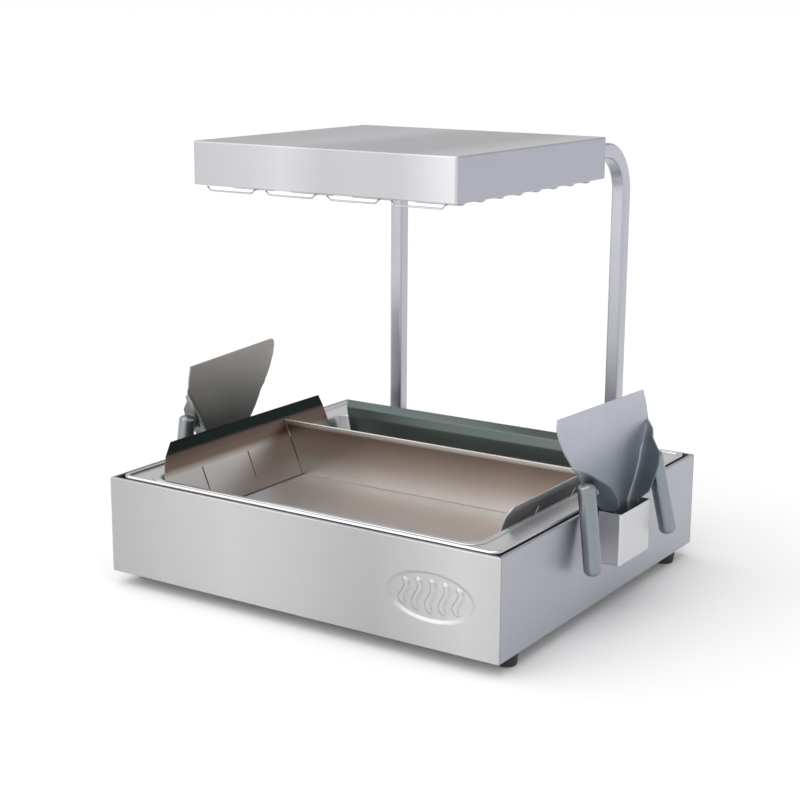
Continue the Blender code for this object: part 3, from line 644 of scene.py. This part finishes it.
def panel_rows(half_length, low, high, columns, depth):
    """Rows of a folded panel in its own frame: along X, inward Y, up Z."""
    half = SHEET / 2
    profile = rounded_line([(0.014 + half, low + half), (half, low + half), (half, high - half),
                            (0.0045 + half, high - half)], (FOLD_RADIUS, FOLD_RADIUS))
    wall = []
    for (inward, z), (_, next_z) in zip(profile, profile[1:]):
        wall.append((inward, z))
        if depth and next_z - z > 0.05:
            first = OVAL_Z - OVAL_HALF_HEIGHT - OVAL_STEP
            count = math.ceil(2 * (OVAL_HALF_HEIGHT + OVAL_STEP) / OVAL_STEP)
            wall += [(half, first + i * OVAL_STEP) for i in range(count + 1)]
    wall.append(profile[-1])
    rows = []
    for inward, z in wall:
        end = half_length - 1.2 * (inward - half)
        row = []
        for x in columns:
            along = min(max(x, -end), end)
            press = depth(along, z) if depth and abs(inward - half) < 1e-6 else 0.0
            row.append((along, inward + press, z))
        rows.append(row)
    return rows


def make_panels(looks):
    """The four folded panels; the front one is pressed with the oval."""
    low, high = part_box("front_panel")
    half_x = high.x
    half_y = -low.y
    side_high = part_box("side_panel_right")[1]
    first = OVAL_X - OVAL_HALF_WIDTH - OVAL_STEP
    count = math.ceil(2 * (OVAL_HALF_WIDTH + OVAL_STEP) / OVAL_STEP)
    fine = [-half_x, -half_x / 2, 0.0] + [first + i * OVAL_STEP for i in range(count + 1)]
    plain = (-1.0, 0.0, 1.0)
    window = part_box("control_box")
    margin = 0.006 + SHEET / 2
    hole = [((window[0].x + margin, half_y - 0.010, window[0].z + margin),
             (window[1].x - margin, half_y + 0.010, window[1].z - margin))]
    table = (("front_panel", half_x, (0, -half_y), 0, fine + [half_x], oval_depth, ()),
             ("back_panel", half_x, (0, half_y), 180, plain, None, hole),
             ("side_panel_right", side_high.y, (half_x, 0), 90, plain, None, ()),
             ("side_panel_left", side_high.y, (-half_x, 0), -90, plain, None, ()))
    for cad_node, half_length, (x, y), turn, columns, depth, cuts in table:
        move = Matrix.Translation((x, y, 0)) @ Matrix.Rotation(math.radians(turn), 4, "Z")
        rows = [[move @ Vector(point) for point in row]
                for row in panel_rows(half_length, low.z, high.z, columns, depth)]
        look = looks["panel_x" if turn in (0, 180) else "shaded_panel_y"]
        sheet_piece(cad_node, rows, SHEET, look, cuts=cuts)


def make_deck(looks):
    """The drawn top: skirt, rolled bead, groove, ledge and turned-down opening."""
    low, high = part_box("top_deck")
    half = SHEET / 2
    bead_x = high.x - half
    front = low.y + half
    back = high.y - half
    skirt = low.z + half
    pan_low, pan_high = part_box("food_pan")
    ledge = pan_high.z - PAN_SHEET - GAP - half
    radius = 0.0030
    bead_z = high.z - half - radius
    opening_x = pan_high.x - 0.0060
    opening_front = pan_low.y + 0.0060
    opening_back = pan_high.y - 0.0060

    def outer(inset, z):
        return rounded_rectangle(bead_x - inset, front + inset, back - inset, 0.014 - inset, z)

    def opening(inset, z):
        return rounded_rectangle(opening_x + inset, opening_front - inset, opening_back + inset,
                                 0.008 + inset, z)

    rings = [outer(0.0, skirt), outer(0.0, bead_z - 0.0006)]
    for step in range(9):
        angle = math.pi * step / 8
        rings.append(outer(radius * (1 - math.cos(angle)), bead_z + radius * math.sin(angle)))
    rings += [outer(0.0062, ledge + 0.0002), outer(0.0070, ledge)]
    rings += [opening(inset, z) for inset, z in
              ((0.0030, ledge), (0.0012, ledge - 0.0005), (0.0003, ledge - 0.0018),
               (0.0, ledge - 0.008))]
    holes = []
    reach = 2 * GAP
    for post in ("post_left", "post_right"):
        post_low, post_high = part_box(post)
        holes.append(((post_low.x - reach, post_high.y - POST_SIZE - reach, ledge - 0.004),
                      (post_high.x + reach, post_high.y + reach, ledge + 0.004)))
    sheet_piece("top_deck", rings, SHEET, looks["deck"], True, cuts=holes)


def make_pan(looks):
    """The drop-in pan: rolled flange, sloping walls and round floor edge."""
    low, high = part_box("food_pan")
    half = PAN_SHEET / 2
    rim_x = high.x - half
    rim_front = low.y + half
    rim_back = high.y - half
    top = high.z - half
    floor = low.z + half
    profile = rounded_line([(0.0, top - 0.0008), (0.0004, top), (0.0085, top),
                            (0.0225, floor), (0.0500, floor)], (0.0004, 0.0035, 0.012), 6)
    rings = [rounded_rectangle(rim_x - inset, rim_front + inset, rim_back - inset,
                               0.026, z) for inset, z in profile]
    sheet_piece("food_pan", rings, PAN_SHEET, looks["pan"], True, True, edge=0.0003)


def make_feet(looks):
    """Rubber feet with a rounded shoulder and a recessed screw in the sole."""
    for end in ("front", "rear"):
        for side in ("left", "right"):
            cad_node = "foot_%s_%s" % (end, side)
            low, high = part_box(cad_node)
            place = ((low.x + high.x) / 2, (low.y + high.y) / 2, 0.0)
            top = high.z
            profile = [(0.0020, top), (0.0158, top), (0.0163, top - 0.0004), (0.0165, top - 0.0012),
                       (0.0165, 0.0150), (0.0162, 0.0135), (0.0150, 0.0030), (0.0145, 0.0012),
                       (0.0135, 0.0003), (0.0125, 0.0), (0.0060, 0.0), (0.0054, 0.0006),
                       (0.0052, 0.0040), (0.0020, 0.0040)]
            turned_piece(cad_node, profile, place, looks["rubber"])


# ---------------------------------------------------------------- insert

def make_wing(cad_node, side, bend_drop, rakes, look):
    """A side wing: sloping wall, soft bend, outward flange, raked front edge and slots."""
    low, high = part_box(cad_node)
    half = SHEET / 2
    outer = max(abs(low.x), abs(high.x))
    inner = min(abs(low.x), abs(high.x))
    top = high.z - half * 0.5
    foot = low.z + half * 0.3
    back = high.y
    front = low.y
    bend = (outer - 0.0100, top - bend_drop)
    tip = (outer - half, top)
    start = (inner + half, foot)
    profile = rounded_line([start, bend, tip], (0.006,), 6)
    denser = []
    for (a, b), (c, d) in zip(profile, profile[1:]):
        count = 8 if d - b > 0.02 else 1
        denser += [(a + (c - a) * i / count, b + (d - b) * i / count) for i in range(count)]
    denser.append(profile[-1])
    rake = tuple(zip((foot, RAKE_BREAK, bend[1], top), rakes))
    rows = []
    for x, z in denser:
        edge = front + between(z, rake)
        rows.append([(side * x, edge + (back - edge) * t / 4, z) for t in range(5)])
    divider_low, divider_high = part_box("cross_divider")
    middle = (divider_low.y + divider_high.y) / 2
    slots = []
    for step in range(3):
        y = middle - step * SLOT_PITCH
        if y > front + SLOT_MARGIN:
            slots.append(((side * SLOT_X - SLOT_REACH, y - SLOT_WIDTH / 2, SLOT_LOW),
                          (side * SLOT_X + SLOT_REACH, y + SLOT_WIDTH / 2, SLOT_HIGH)))
    sheet_piece(cad_node, rows, SHEET, look, cuts=slots, edge=0.0003)


def make_insert(looks):
    """Both wings, the back wall and the hemmed cross divider."""
    make_wing("insert_wing_left", -1, 0.0160, (0.024, 0.0, 0.020, 0.042), looks["wing"])
    make_wing("insert_wing_right", 1, 0.0140, (0.012, 0.0, 0.0, 0.003), looks["wing_right"])
    low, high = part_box("insert_back_wall")
    half = SHEET / 2
    foot = low.z + half
    top = high.z - half
    y = low.y + half
    profile = rounded_line([(y, foot), (y + 0.0105, 0.170), (y + 0.0145, 0.184),
                            (high.y - half, top)], (0.03, 0.008), 5)
    rows = []
    for depth, z in profile:
        reach = high.x - 0.030 + between(z, ((foot, 0.0), (0.165, 0.020), (top, 0.030)))
        rows.append([(-reach, depth, z), (0.0, depth, z), (reach, depth, z)])
    sheet_piece("insert_back_wall", rows, SHEET, looks["back_wall"])
    make_divider(looks["divider"])


def make_divider(look):
    """The lift-out divider: its top edge is hemmed over and its ends follow the wings."""
    low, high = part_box("cross_divider")
    middle = (low.y + high.y) / 2
    hem = 0.0024
    hem_drop = 0.009
    section = rounded_line([(0.0, low.z), (0.0, high.z - 0.0006), (hem, high.z - 0.0006),
                            (hem, high.z - hem_drop)], (0.0012, 0.0012), 5)
    lower = high.x - 0.0380
    slope = (high.x - lower) / (high.z - low.z)
    rows = []
    for offset, z in section:
        reach = lower + slope * (z - low.z) - (0.004 if offset > 0.002 else 0.0)
        rows.append([(-reach, middle + offset * 0.9, z), (0.0, middle + offset * 0.9, z),
                     (reach, middle + offset * 0.9, z)])
    sheet_piece("cross_divider", rows, SHEET * 0.85, look, edge=0.0003)


# ---------------------------------------------------------------- posts and hood

def make_post(cad_node, look):
    """A bent square tube with round corners, open at both ends."""
    low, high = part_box(cad_node)
    x = (low.x + high.x) / 2
    back_y = high.y - POST_SIZE / 2
    top_z = high.z - POST_SIZE / 2
    radius = POST_BEND_RADIUS
    bend_steps = 20
    path = [(back_y, low.z), (back_y, 0.30)]
    for step in range(bend_steps + 1):
        angle = math.pi / 2 * step / bend_steps
        path.append((back_y - radius * (1 - math.cos(angle)),
                     top_z - radius * (1 - math.sin(angle))))
    path.append((low.y, top_z))
    half = (POST_SIZE - POST_WALL) / 2
    section = [(px, py) for px, py, _ in
               rounded_rectangle(half, -half, half, 0.0032, 0.0, 4)]
    rows = []
    for i, (y, z) in enumerate(path):
        before = Vector(path[max(i - 1, 0)])
        after = Vector(path[min(i + 1, len(path) - 1)])
        ahead = (after - before).normalized()
        outward = Vector((ahead.y, -ahead.x))
        rows.append([(x + a, y + outward.x * b, z + outward.y * b) for a, b in section])
    sheet_piece(cad_node, rows, POST_WALL, look, True, edge=0.0004)


def make_hood(looks):
    """The hood's pressed shell: crisp folds, round upright corners, turned-in lower lip."""
    low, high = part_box("hood_shell")
    half = SHEET / 2
    half_x = high.x - half
    front = low.y + half
    back = high.y - half
    base = low.z + half
    top = high.z - half
    profile = rounded_line([(0.0065, base), (0.0, base), (0.0, top), (0.020, top)],
                           (0.0012, 0.0022), 5)
    rings = []
    for inset, z in profile:
        radius = max(0.0045 - inset, 0.0022)
        rings.append(rounded_rectangle(half_x - inset, front + inset, back - inset, radius, z, 6))
    holes = []
    reach = 2 * GAP
    for post in ("post_left", "post_right"):
        post_low, post_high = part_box(post)
        holes.append(((post_low.x - reach, back - 0.005, post_high.z - POST_SIZE - reach),
                      (post_high.x + reach, back + 0.005, post_high.z + reach)))
    sheet_piece("hood_shell", rings, SHEET, looks["hood"], True, True, cuts=holes)


def round_path(points, radius, steps=4):
    """A space path whose corners are rounded."""
    line = [Vector(points[0])]
    for before, corner, after in zip(points, points[1:], points[2:]):
        here = Vector(corner)
        back = Vector(before) - here
        ahead = Vector(after) - here
        start = here + back.normalized() * min(radius, back.length * 0.45)
        end = here + ahead.normalized() * min(radius, ahead.length * 0.45)
        line += [round_corner(start, here, end, step / steps) for step in range(steps + 1)]
    line.append(Vector(points[-1]))
    return line


def wire_rows(path, radius, sides=8):
    """Rings along a path, with no twist between them."""
    rows = []
    side = None
    for i, point in enumerate(path):
        ahead = (path[min(i + 1, len(path) - 1)] - path[max(i - 1, 0)]).normalized()
        if side is None:
            side = ahead.orthogonal().normalized()
        side = (side - ahead * side.dot(ahead)).normalized()
        other = ahead.cross(side)
        rows.append([point + (side * math.cos(2 * math.pi * k / sides)
                              + other * math.sin(2 * math.pi * k / sides)) * radius
                     for k in range(sides)])
    return rows


def make_guard(number, look):
    """One wire guard: a single wire bent to and fro under its heating strip."""
    cad_node = "wire_guard_%d" % number
    low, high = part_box(cad_node)
    wire = 0.0012
    x = (low.x + high.x) / 2
    half = (high.x - low.x) / 2 - wire
    top = high.z - wire
    bottom = low.z + wire
    front = low.y + wire
    back = high.y - wire
    loops = 9
    pitch = (back - front) / (loops - 1)
    points = []
    for i in range(loops):
        y = front + i * pitch
        side = 1 if i % 2 == 0 else -1
        points += [(x - side * half, y, top), (x - side * (half - 0.005), y, bottom),
                   (x + side * (half - 0.005), y, bottom), (x + side * half, y, top)]
    wires = skin(cad_node + "_wire", wire_rows(round_path(points, 0.004), wire), look)
    stands_for(wires, cad_node)


def make_elements(looks):
    """Sheathed elements with crimped ends and terminal pins."""
    for number in range(1, 5):
        cad_node = "heating_element_%d" % number
        low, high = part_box(cad_node)
        place = ((low.x + high.x) / 2, low.y, (low.z + high.z) / 2)
        length = high.y - low.y
        profile = [(0.0008, 0.0), (0.0016, 0.0), (0.0019, 0.0004), (0.0019, 0.0040),
                   (0.0034, 0.0046), (0.0037, 0.0052), (0.0037, 0.0100), (0.0039, 0.0106),
                   (0.0039, length / 2)]
        mirrored = [(radius, length - height) for radius, height in reversed(profile[:-1])]
        turned_piece(cad_node, profile + mirrored, place, looks["sheath"], "Y", 24)


# ---------------------------------------------------------------- scoops

SCOOP_SHEET = 0.0024
SCOOP_X = 0.3434
SCOOP_SHIFT = -0.0095
HANDLE_RADIUS = 0.013
HANDLE_OFFSET = 0.0965
HANDLE_RISE = 0.0178
HANDLE_TOP = 0.058
HANDLE_BOTTOM = -0.073
HANDLE_SPLAY = 6.0
NECK_END = 0.0905

# Blade half widths by height up the blade from the holder's rim; both sides start alike
LOWER_EDGE = ((-0.035, 0.027), (0.000, 0.034), (0.010, 0.044), (0.025, 0.060),
              (0.045, 0.0755), (0.060, 0.0845))
LEFT_EDGE = LOWER_EDGE + ((0.079, 0.0925), (0.101, 0.1065), (0.125, 0.1160), (0.140, 0.1180))
RIGHT_EDGE = LOWER_EDGE + ((0.079, 0.100), (0.101, 0.115), (0.125, 0.1145), (0.140, 0.1120))
MOUTH_RISE = (0.0120, 0.0040)
MOUTH_SHIFT = 0.0080

# Side walls: rim half width and rim height above the blade, by height up the blade
LOWER_WIDTH = ((-0.035, 0.0270), (0.000, 0.0340), (0.010, 0.0405), (0.025, 0.0490),
               (0.045, 0.0640))
LOWER_HEIGHT = ((-0.035, 0.0165), (0.000, 0.0180), (0.010, 0.0330), (0.025, 0.0380))
LEFT_RIM_WIDTH = LOWER_WIDTH + ((0.060, 0.0775), (0.079, 0.0915))
LEFT_RIM_HEIGHT = LOWER_HEIGHT + ((0.045, 0.0390), (0.060, 0.0270), (0.079, 0.0130))
RIGHT_RIM_WIDTH = LOWER_WIDTH + ((0.060, 0.0720), (0.079, 0.0830), (0.101, 0.1130))
RIGHT_RIM_HEIGHT = LOWER_HEIGHT + ((0.045, 0.0410), (0.060, 0.0390), (0.079, 0.0240),
                                   (0.101, 0.0110))
SIDES = ((-1, LEFT_EDGE, LEFT_RIM_WIDTH, LEFT_RIM_HEIGHT),
         (1, RIGHT_EDGE, RIGHT_RIM_WIDTH, RIGHT_RIM_HEIGHT))
RIM_ROUND = 0.014


def scoop_section(up, q):
    """One cross section of a scoop: each edge's place and its wall's rim, then both heights."""
    sides = []
    for direction, edges, widths, heights in SIDES:
        edge = between(up, edges) * direction
        end = heights[-1][0]
        height = between(up, heights) * math.sqrt(ease((end - up) / RIM_ROUND))
        rim = between(up, widths) * direction if height > 0.001 else edge
        sides.append((edge, rim, max(height, 0.0)))
    corner = q * math.pi / 2
    left, left_rim, left_height = sides[0]
    shift = MOUTH_SHIFT * (1 - math.cos(corner))
    sides[0] = (left + shift, left_rim + shift, left_height)
    return sides, up + MOUTH_RISE[0] * math.sin(corner), up + MOUTH_RISE[1] * q


def scoop_wall(edge, rim, height):
    """One wall of a section from its rim down, round the inner corner and onto the blade."""
    soft = min(0.007, height * 0.45)
    inward = 1 if edge < 0 else -1
    run = Vector((rim - edge, height))
    length = run.length
    direction = run / length if length > 0.00001 else Vector((0.0, 1.0))
    wall_points = 8
    line = []
    for i in range(wall_points):
        along = soft + (length - soft) * (1 - i / (wall_points - 1))
        line.append((edge + direction.x * along, direction.y * along))
    top = Vector((edge, 0.0)) + direction * soft
    foot = Vector((edge + inward * soft, 0.0))
    corner = Vector((edge, 0.0))
    return line + [tuple(round_corner(top, corner, foot, i / 4)) for i in range(1, 5)]


def scoop_rows():
    """All cross sections from the spout to the mouth, with equal numbers of points."""
    heights = [(-0.035 + i * 0.005, 0.0) for i in range(36)]
    heights += [(0.140, q / 4) for q in range(1, 5)]
    blade_points = 14
    rows = []
    for up, q in heights:
        (left, right), up_left, up_right = scoop_section(up, q)
        left_line = scoop_wall(*left)
        right_line = list(reversed(scoop_wall(*right)))
        start = left_line[-1][0]
        stop = right_line[0][0]
        middle = [(start + (stop - start) * i / blade_points, 0.0)
                  for i in range(1, blade_points)]
        row = []
        for across, outward in left_line + middle + right_line:
            t = min(max((across - left[0]) / (right[0] - left[0]), 0.0), 1.0)
            row.append((across, up_left + (up_right - up_left) * t, outward))
        rows.append(row)
    return rows


def scoop_matrix(side, holder, lean, yaw, roll):
    """World axes of a scoop standing in its holder: across, up the blade, outward."""
    low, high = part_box(holder)
    place = (side * SCOOP_X, (low.y + high.y) / 2 + SCOOP_SHIFT, high.z)
    axes = Matrix(((0, 0, side, 0), (side, 0, 0, 0), (0, 1, 0, 0), (0, 0, 0, 1)))
    tip = Matrix.Rotation(math.radians(-lean), 4, "X")
    turn = Matrix.Rotation(math.radians(-roll), 4, "Z")
    swing = Matrix.Rotation(math.radians(yaw), 4, "Z")
    return Matrix.Translation(place) @ swing @ axes @ tip @ turn


def make_scoop(name, matrix, look):
    """A cast scoop: flat blade, walls that close in on the spout, round inner corners."""
    bm = bmesh.new()
    rows = [[matrix @ Vector(point) for point in row] for row in scoop_rows()]
    surface(bm, rows)
    bmesh.ops.remove_doubles(bm, verts=bm.verts, dist=0.00005)
    obj = to_object("scoop_%s_cast" % name, bm, look)
    thicken(obj, SCOOP_SHEET)
    soften(obj, 0.0007, 3)
    return stands_for(obj, "scoop_" + name)


def make_handle(name, direction, matrix, look):
    """A round cast grip with domed ends, and its flared neck to the scoop's wall."""
    radius = HANDLE_RADIUS
    top = HANDLE_TOP
    bottom = HANDLE_BOTTOM
    steps = 8
    profile = [(0.0008, top)]
    for step in range(1, steps + 1):
        angle = math.pi / 2 * step / steps
        profile.append((radius * math.sin(angle), top - radius * 0.6 * (1 - math.cos(angle))))
    profile.append((radius * 0.985, (top + bottom) / 2))
    for step in range(steps, 0, -1):
        angle = math.pi / 2 * step / steps
        profile.append((radius * math.sin(angle), bottom + radius * 0.8 * (1 - math.cos(angle))))
    profile.append((0.0008, bottom))
    centre = Vector((direction * HANDLE_OFFSET, 0.0, HANDLE_RISE))
    splay = Matrix.Rotation(math.radians(direction * HANDLE_SPLAY), 4, "Z")
    turn = splay @ Matrix.Rotation(-math.pi / 2, 4, "X")
    rows = [[matrix @ (centre + turn @ point) for point in row]
            for row in turned_rows(profile, 40, (0, 0, 0))]
    keep_flats(stands_for(skin("%s_grip" % name, rows, look), name))
    make_neck(name, direction, matrix, look)


def wall_across(direction, up, outward):
    """Distance of a scoop wall's outer face from the middle, at a place on the wall."""
    _, edges, widths, heights = SIDES[0] if direction < 0 else SIDES[1]
    edge = between(up, edges)
    rim = between(up, widths)
    return edge + (rim - edge) * outward / between(up, heights) + SCOOP_SHEET * 0.35


def make_neck(name, direction, matrix, look):
    """The short flared neck between a grip and the scoop's wall, which it fits closely."""
    rows = []
    count = 8
    for step in range(count + 1):
        t = step / count
        flare = 1 + 0.35 * (2 * t - 1) ** 2
        ring = []
        for i in range(20):
            angle = 2 * math.pi * i / 20
            up = 0.042 + 0.0085 * flare * math.cos(angle)
            outward = 0.015 + 0.0052 * flare * math.sin(angle)
            near = wall_across(direction, up, outward)
            across = near + (NECK_END - near) * t
            ring.append(matrix @ Vector((direction * across, up, outward)))
        rows.append(ring)
    goes_with(skin("%s_neck" % name, rows, look), name)


def make_scoops(looks):
    """A scoop at rest in the holder on each side: two grips on the right one."""
    # Painted shade: these ramps darken each scoop towards its spout.
    right_scoop_shade = ((0.0, (0.26, 0.30, 0.29)), (0.26, (0.44, 0.47, 0.47)),
              (0.50, (0.66, 0.68, 0.68)), (0.72, (0.90, 0.90, 0.90)), (1.0, (1.0, 1.0, 1.0)))
    left_scoop_shade = ((0.0, (0.22, 0.28, 0.25)), (0.45, (0.62, 0.64, 0.56)), (1.0, (0.98, 0.90, 0.80)))
    # The left scoop, seen from its back, is a darker copy of the right one's metal: painted shade.
    stands = (("right", 1, (9.0, -6.0, -3.0), ("front", "rear"), (0.56, 0.58, 0.65), right_scoop_shade),
              ("left", -1, (4.0, 3.0, 0.0), ("front",), (0.46, 0.46, 0.49), left_scoop_shade))
    for name, side, angles, grips, colour, painted_shade_stops in stands:
        holder = "scoop_holder_" + name
        matrix = scoop_matrix(side, holder, *angles)
        tint = scoop_painted_shade(matrix, *painted_shade_stops)
        look = cast_aluminium("scoop aluminium, %s" % name, colour, 0.48, tint)
        make_scoop(name, matrix, look)
        for end in grips:
            direction = -side if end == "front" else side
            make_handle("scoop_handle_%s_%s" % (name, end), direction, matrix, looks["handle"])
        make_holder(holder, looks["holder"])


def make_holder(cad_node, look):
    """An open-topped folded pocket with round upright corners."""
    low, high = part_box(cad_node)
    wall = 0.0015
    half = wall / 2
    centre = (low.x + high.x) / 2
    half_x = (high.x - low.x) / 2 - half
    profile = rounded_line([(0.0, high.z), (0.0, low.z + half), (0.012, low.z + half)],
                           (0.0018,), 5)
    rings = []
    for inset, z in profile:
        ring = rounded_rectangle(half_x - inset, low.y + half + inset, high.y - half - inset,
                                 max(0.0028 - inset, 0.0010), z, 5)
        rings.append([(centre + x, y, height) for x, y, height in ring])
    sheet_piece(cad_node, rings, wall, look, True, True, edge=0.0004)


# ---------------------------------------------------------------- controls

def make_controls(looks):
    """Knob with flutes and a pointer, its printed scale, rocker, and the plain pieces."""
    low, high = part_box("thermostat_knob")
    place = Vector(((low.x + high.x) / 2, low.y, (low.z + high.z) / 2))
    tall = high.y - low.y - 0.0032
    profile = [(0.0010, 0.0), (0.0176, 0.0), (0.0180, 0.0006), (0.0180, 0.0028),
               (0.0170, 0.0040), (0.0158, 0.0052), (0.0148, tall - 0.0022),
               (0.0142, tall - 0.0008), (0.0130, tall), (0.0100, tall), (0.0090, tall - 0.0004),
               (0.0010, tall - 0.0004)]
    rows = turned_rows(profile, 96, place, "Y", 16, 0.05)
    knob = skin("thermostat_knob_body", rows, looks["knob"])
    carve(knob, [((place.x - 0.0020, place.y + 0.010, place.z - 0.0120),
                  (place.x + 0.0020, high.y, place.z + 0.0120))], "UNION")
    soften(knob, 0.0004)
    stands_for(knob, "thermostat_knob")
    bm = bmesh.new()
    block(bm, (0.0012, 0.0004, 0.0080),
          Matrix.Translation((place.x, high.y - 0.0001, place.z + 0.0075)))
    pointer = to_object("thermostat_pointer_line", bm, looks["mark"])
    soften(pointer, 0.0001)
    goes_with(pointer, "thermostat_knob")
    bm = bmesh.new()
    floor = low.y - GAP
    for tick in range(11):
        angle = math.radians(90 - 30 * tick)
        length = 0.0040 if tick % 5 else 0.0055
        move = (Matrix.Translation((place.x, floor + 0.0001, place.z))
                @ Matrix.Rotation(-angle, 4, "Y") @ Matrix.Translation((0.0205 + length / 2, 0, 0)))
        block(bm, (length, 0.0003, 0.0010), move)
    scale = to_object("thermostat_scale_marks", bm, looks["mark"])
    goes_with(scale, "control_box")
    for cad_node, look in (("rocker_switch", "rocker"), ("rocker_frame", "plastic"),
                           ("power_inlet", "plastic"), ("thermostat_body", "plastic"),
                           ("control_box", "inner"), ("terminal_block", "ceramic")):
        finish_node(cad_node, looks[look])


def finish_nodes(looks):
    """Nodes whose own shape is right, with their materials."""
    table = {"bottom_cover": "inner", "well_liner": "inner", "insulation_pad": "wool",
             "heating_blanket": "silicone", "heat_spreader": "spreader",
             "thermostat_bulb": "bulb", "insert_floor": "pan", "post_cross_bar": "inner",
             "hood_cross_bar": "inner", "hood_baffle": "inner",
             "element_support_front": "inner", "element_support_rear": "inner",
             "post_bolt_left": "fastener", "post_bolt_right": "fastener",
             "holder_screw_left": "fastener", "holder_screw_right": "fastener"}
    for number in range(1, 5):
        table["reflector_%d" % number] = "reflector"
    for cad_node, look in table.items():
        edge = 0.0002 if cad_node.startswith(("reflector", "bottom", "element")) else 0.0004
        finish_node(cad_node, looks[look], edge)


# ---------------------------------------------------------------- stage, light and camera

def make_stage():
    """A plain pale floor."""
    bm = bmesh.new()
    bmesh.ops.create_grid(bm, x_segments=8, y_segments=8, size=FLOOR_REACH)
    made, tree = new_material("studio floor")
    cloud = noise(tree, 0.7, 2.0)
    shade = ramp(tree, cloud, (0.3, (0.960, 0.960, 0.960)), (0.7, (0.975, 0.975, 0.975)))
    to_object("studio_floor", bm, finish_material(made, shade, 0.9))


def area_light(name, place, target, size, power, colour=(1, 1, 1)):
    """A soft rectangular light aimed at a point."""
    data = bpy.data.lights.new(name, "AREA")
    data.shape = "RECTANGLE"
    data.size, data.size_y = size
    data.energy = power
    data.color = colour
    light = add_object(name, data)
    light.location = place
    light.rotation_mode = "QUATERNION"
    light.rotation_quaternion = (Vector(target) - Vector(place)).to_track_quat("-Z", "Y")
    light.visible_camera = False


def make_light():
    """Plain soft studio light: a pale surround, a large key and a fill."""
    world = bpy.data.worlds.new("studio")
    world.use_nodes = True
    tree = world.node_tree
    upward = coordinate(tree, "Z", output="Generated")
    height = calc(tree, "MULTIPLY_ADD", upward, 0.5, 0.5)
    sky = ramp(tree, height, (0.0, 0.90), (0.50, 1.0), (0.56, 0.76), (0.75, 0.60), (1.0, 0.60))
    tree.links.new(sky, tree.nodes["Background"].inputs["Color"])
    tree.nodes["Background"].inputs["Strength"].default_value = 1.0
    bpy.context.scene.world = world
    data = bpy.data.lights.new("overhead", "SUN")
    data.energy = SUN_STRENGTH
    data.angle = math.radians(SUN_SPREAD)
    overhead = add_object("overhead", data)
    overhead.rotation_euler = (math.radians(24), math.radians(-14), 0)
    area_light("key", (-1.3, -2.9, 2.3), (0, 0, 0.3), (2.2, 1.6), 7.0, (1.0, 0.99, 0.975))
    area_light("strip", (-1.2, -2.7, 0.95), (0, 0, 0.35), (0.9, 1.7), 5.0)
    area_light("fill", (3.0, -0.6, 1.6), (0, 0, 0.3), (1.6, 1.6), 3.0, (0.90, 0.95, 1.0))


def make_camera():
    """The camera at the viewing angle of the real one."""
    data = bpy.data.cameras.new("camera")
    data.lens = CAMERA_LENS
    data.sensor_width = 36.0
    camera = add_object("camera", data)
    camera.matrix_world = (Matrix.Translation(CAMERA_PLACE)
                           @ Matrix.Rotation(math.radians(CAMERA_YAW), 4, "Z")
                           @ Matrix.Rotation(math.radians(90 - CAMERA_PITCH), 4, "X")
                           @ Matrix.Rotation(math.radians(CAMERA_ROLL), 4, "Z"))
    bpy.context.scene.camera = camera


def main():
    """Build the looks round the frame."""
    looks = make_materials()
    make_panels(looks)
    make_deck(looks)
    make_pan(looks)
    make_feet(looks)
    make_insert(looks)
    make_post("post_left", looks["post"])
    make_post("post_right", looks["post"])
    make_hood(looks)
    for number in range(1, 5):
        make_guard(number, looks["chrome"])
    make_elements(looks)
    make_scoops(looks)
    make_controls(looks)
    finish_nodes(looks)
    make_stage()
    make_light()
    make_camera()
    bpy.context.scene.view_settings.view_transform = "Standard"


main()
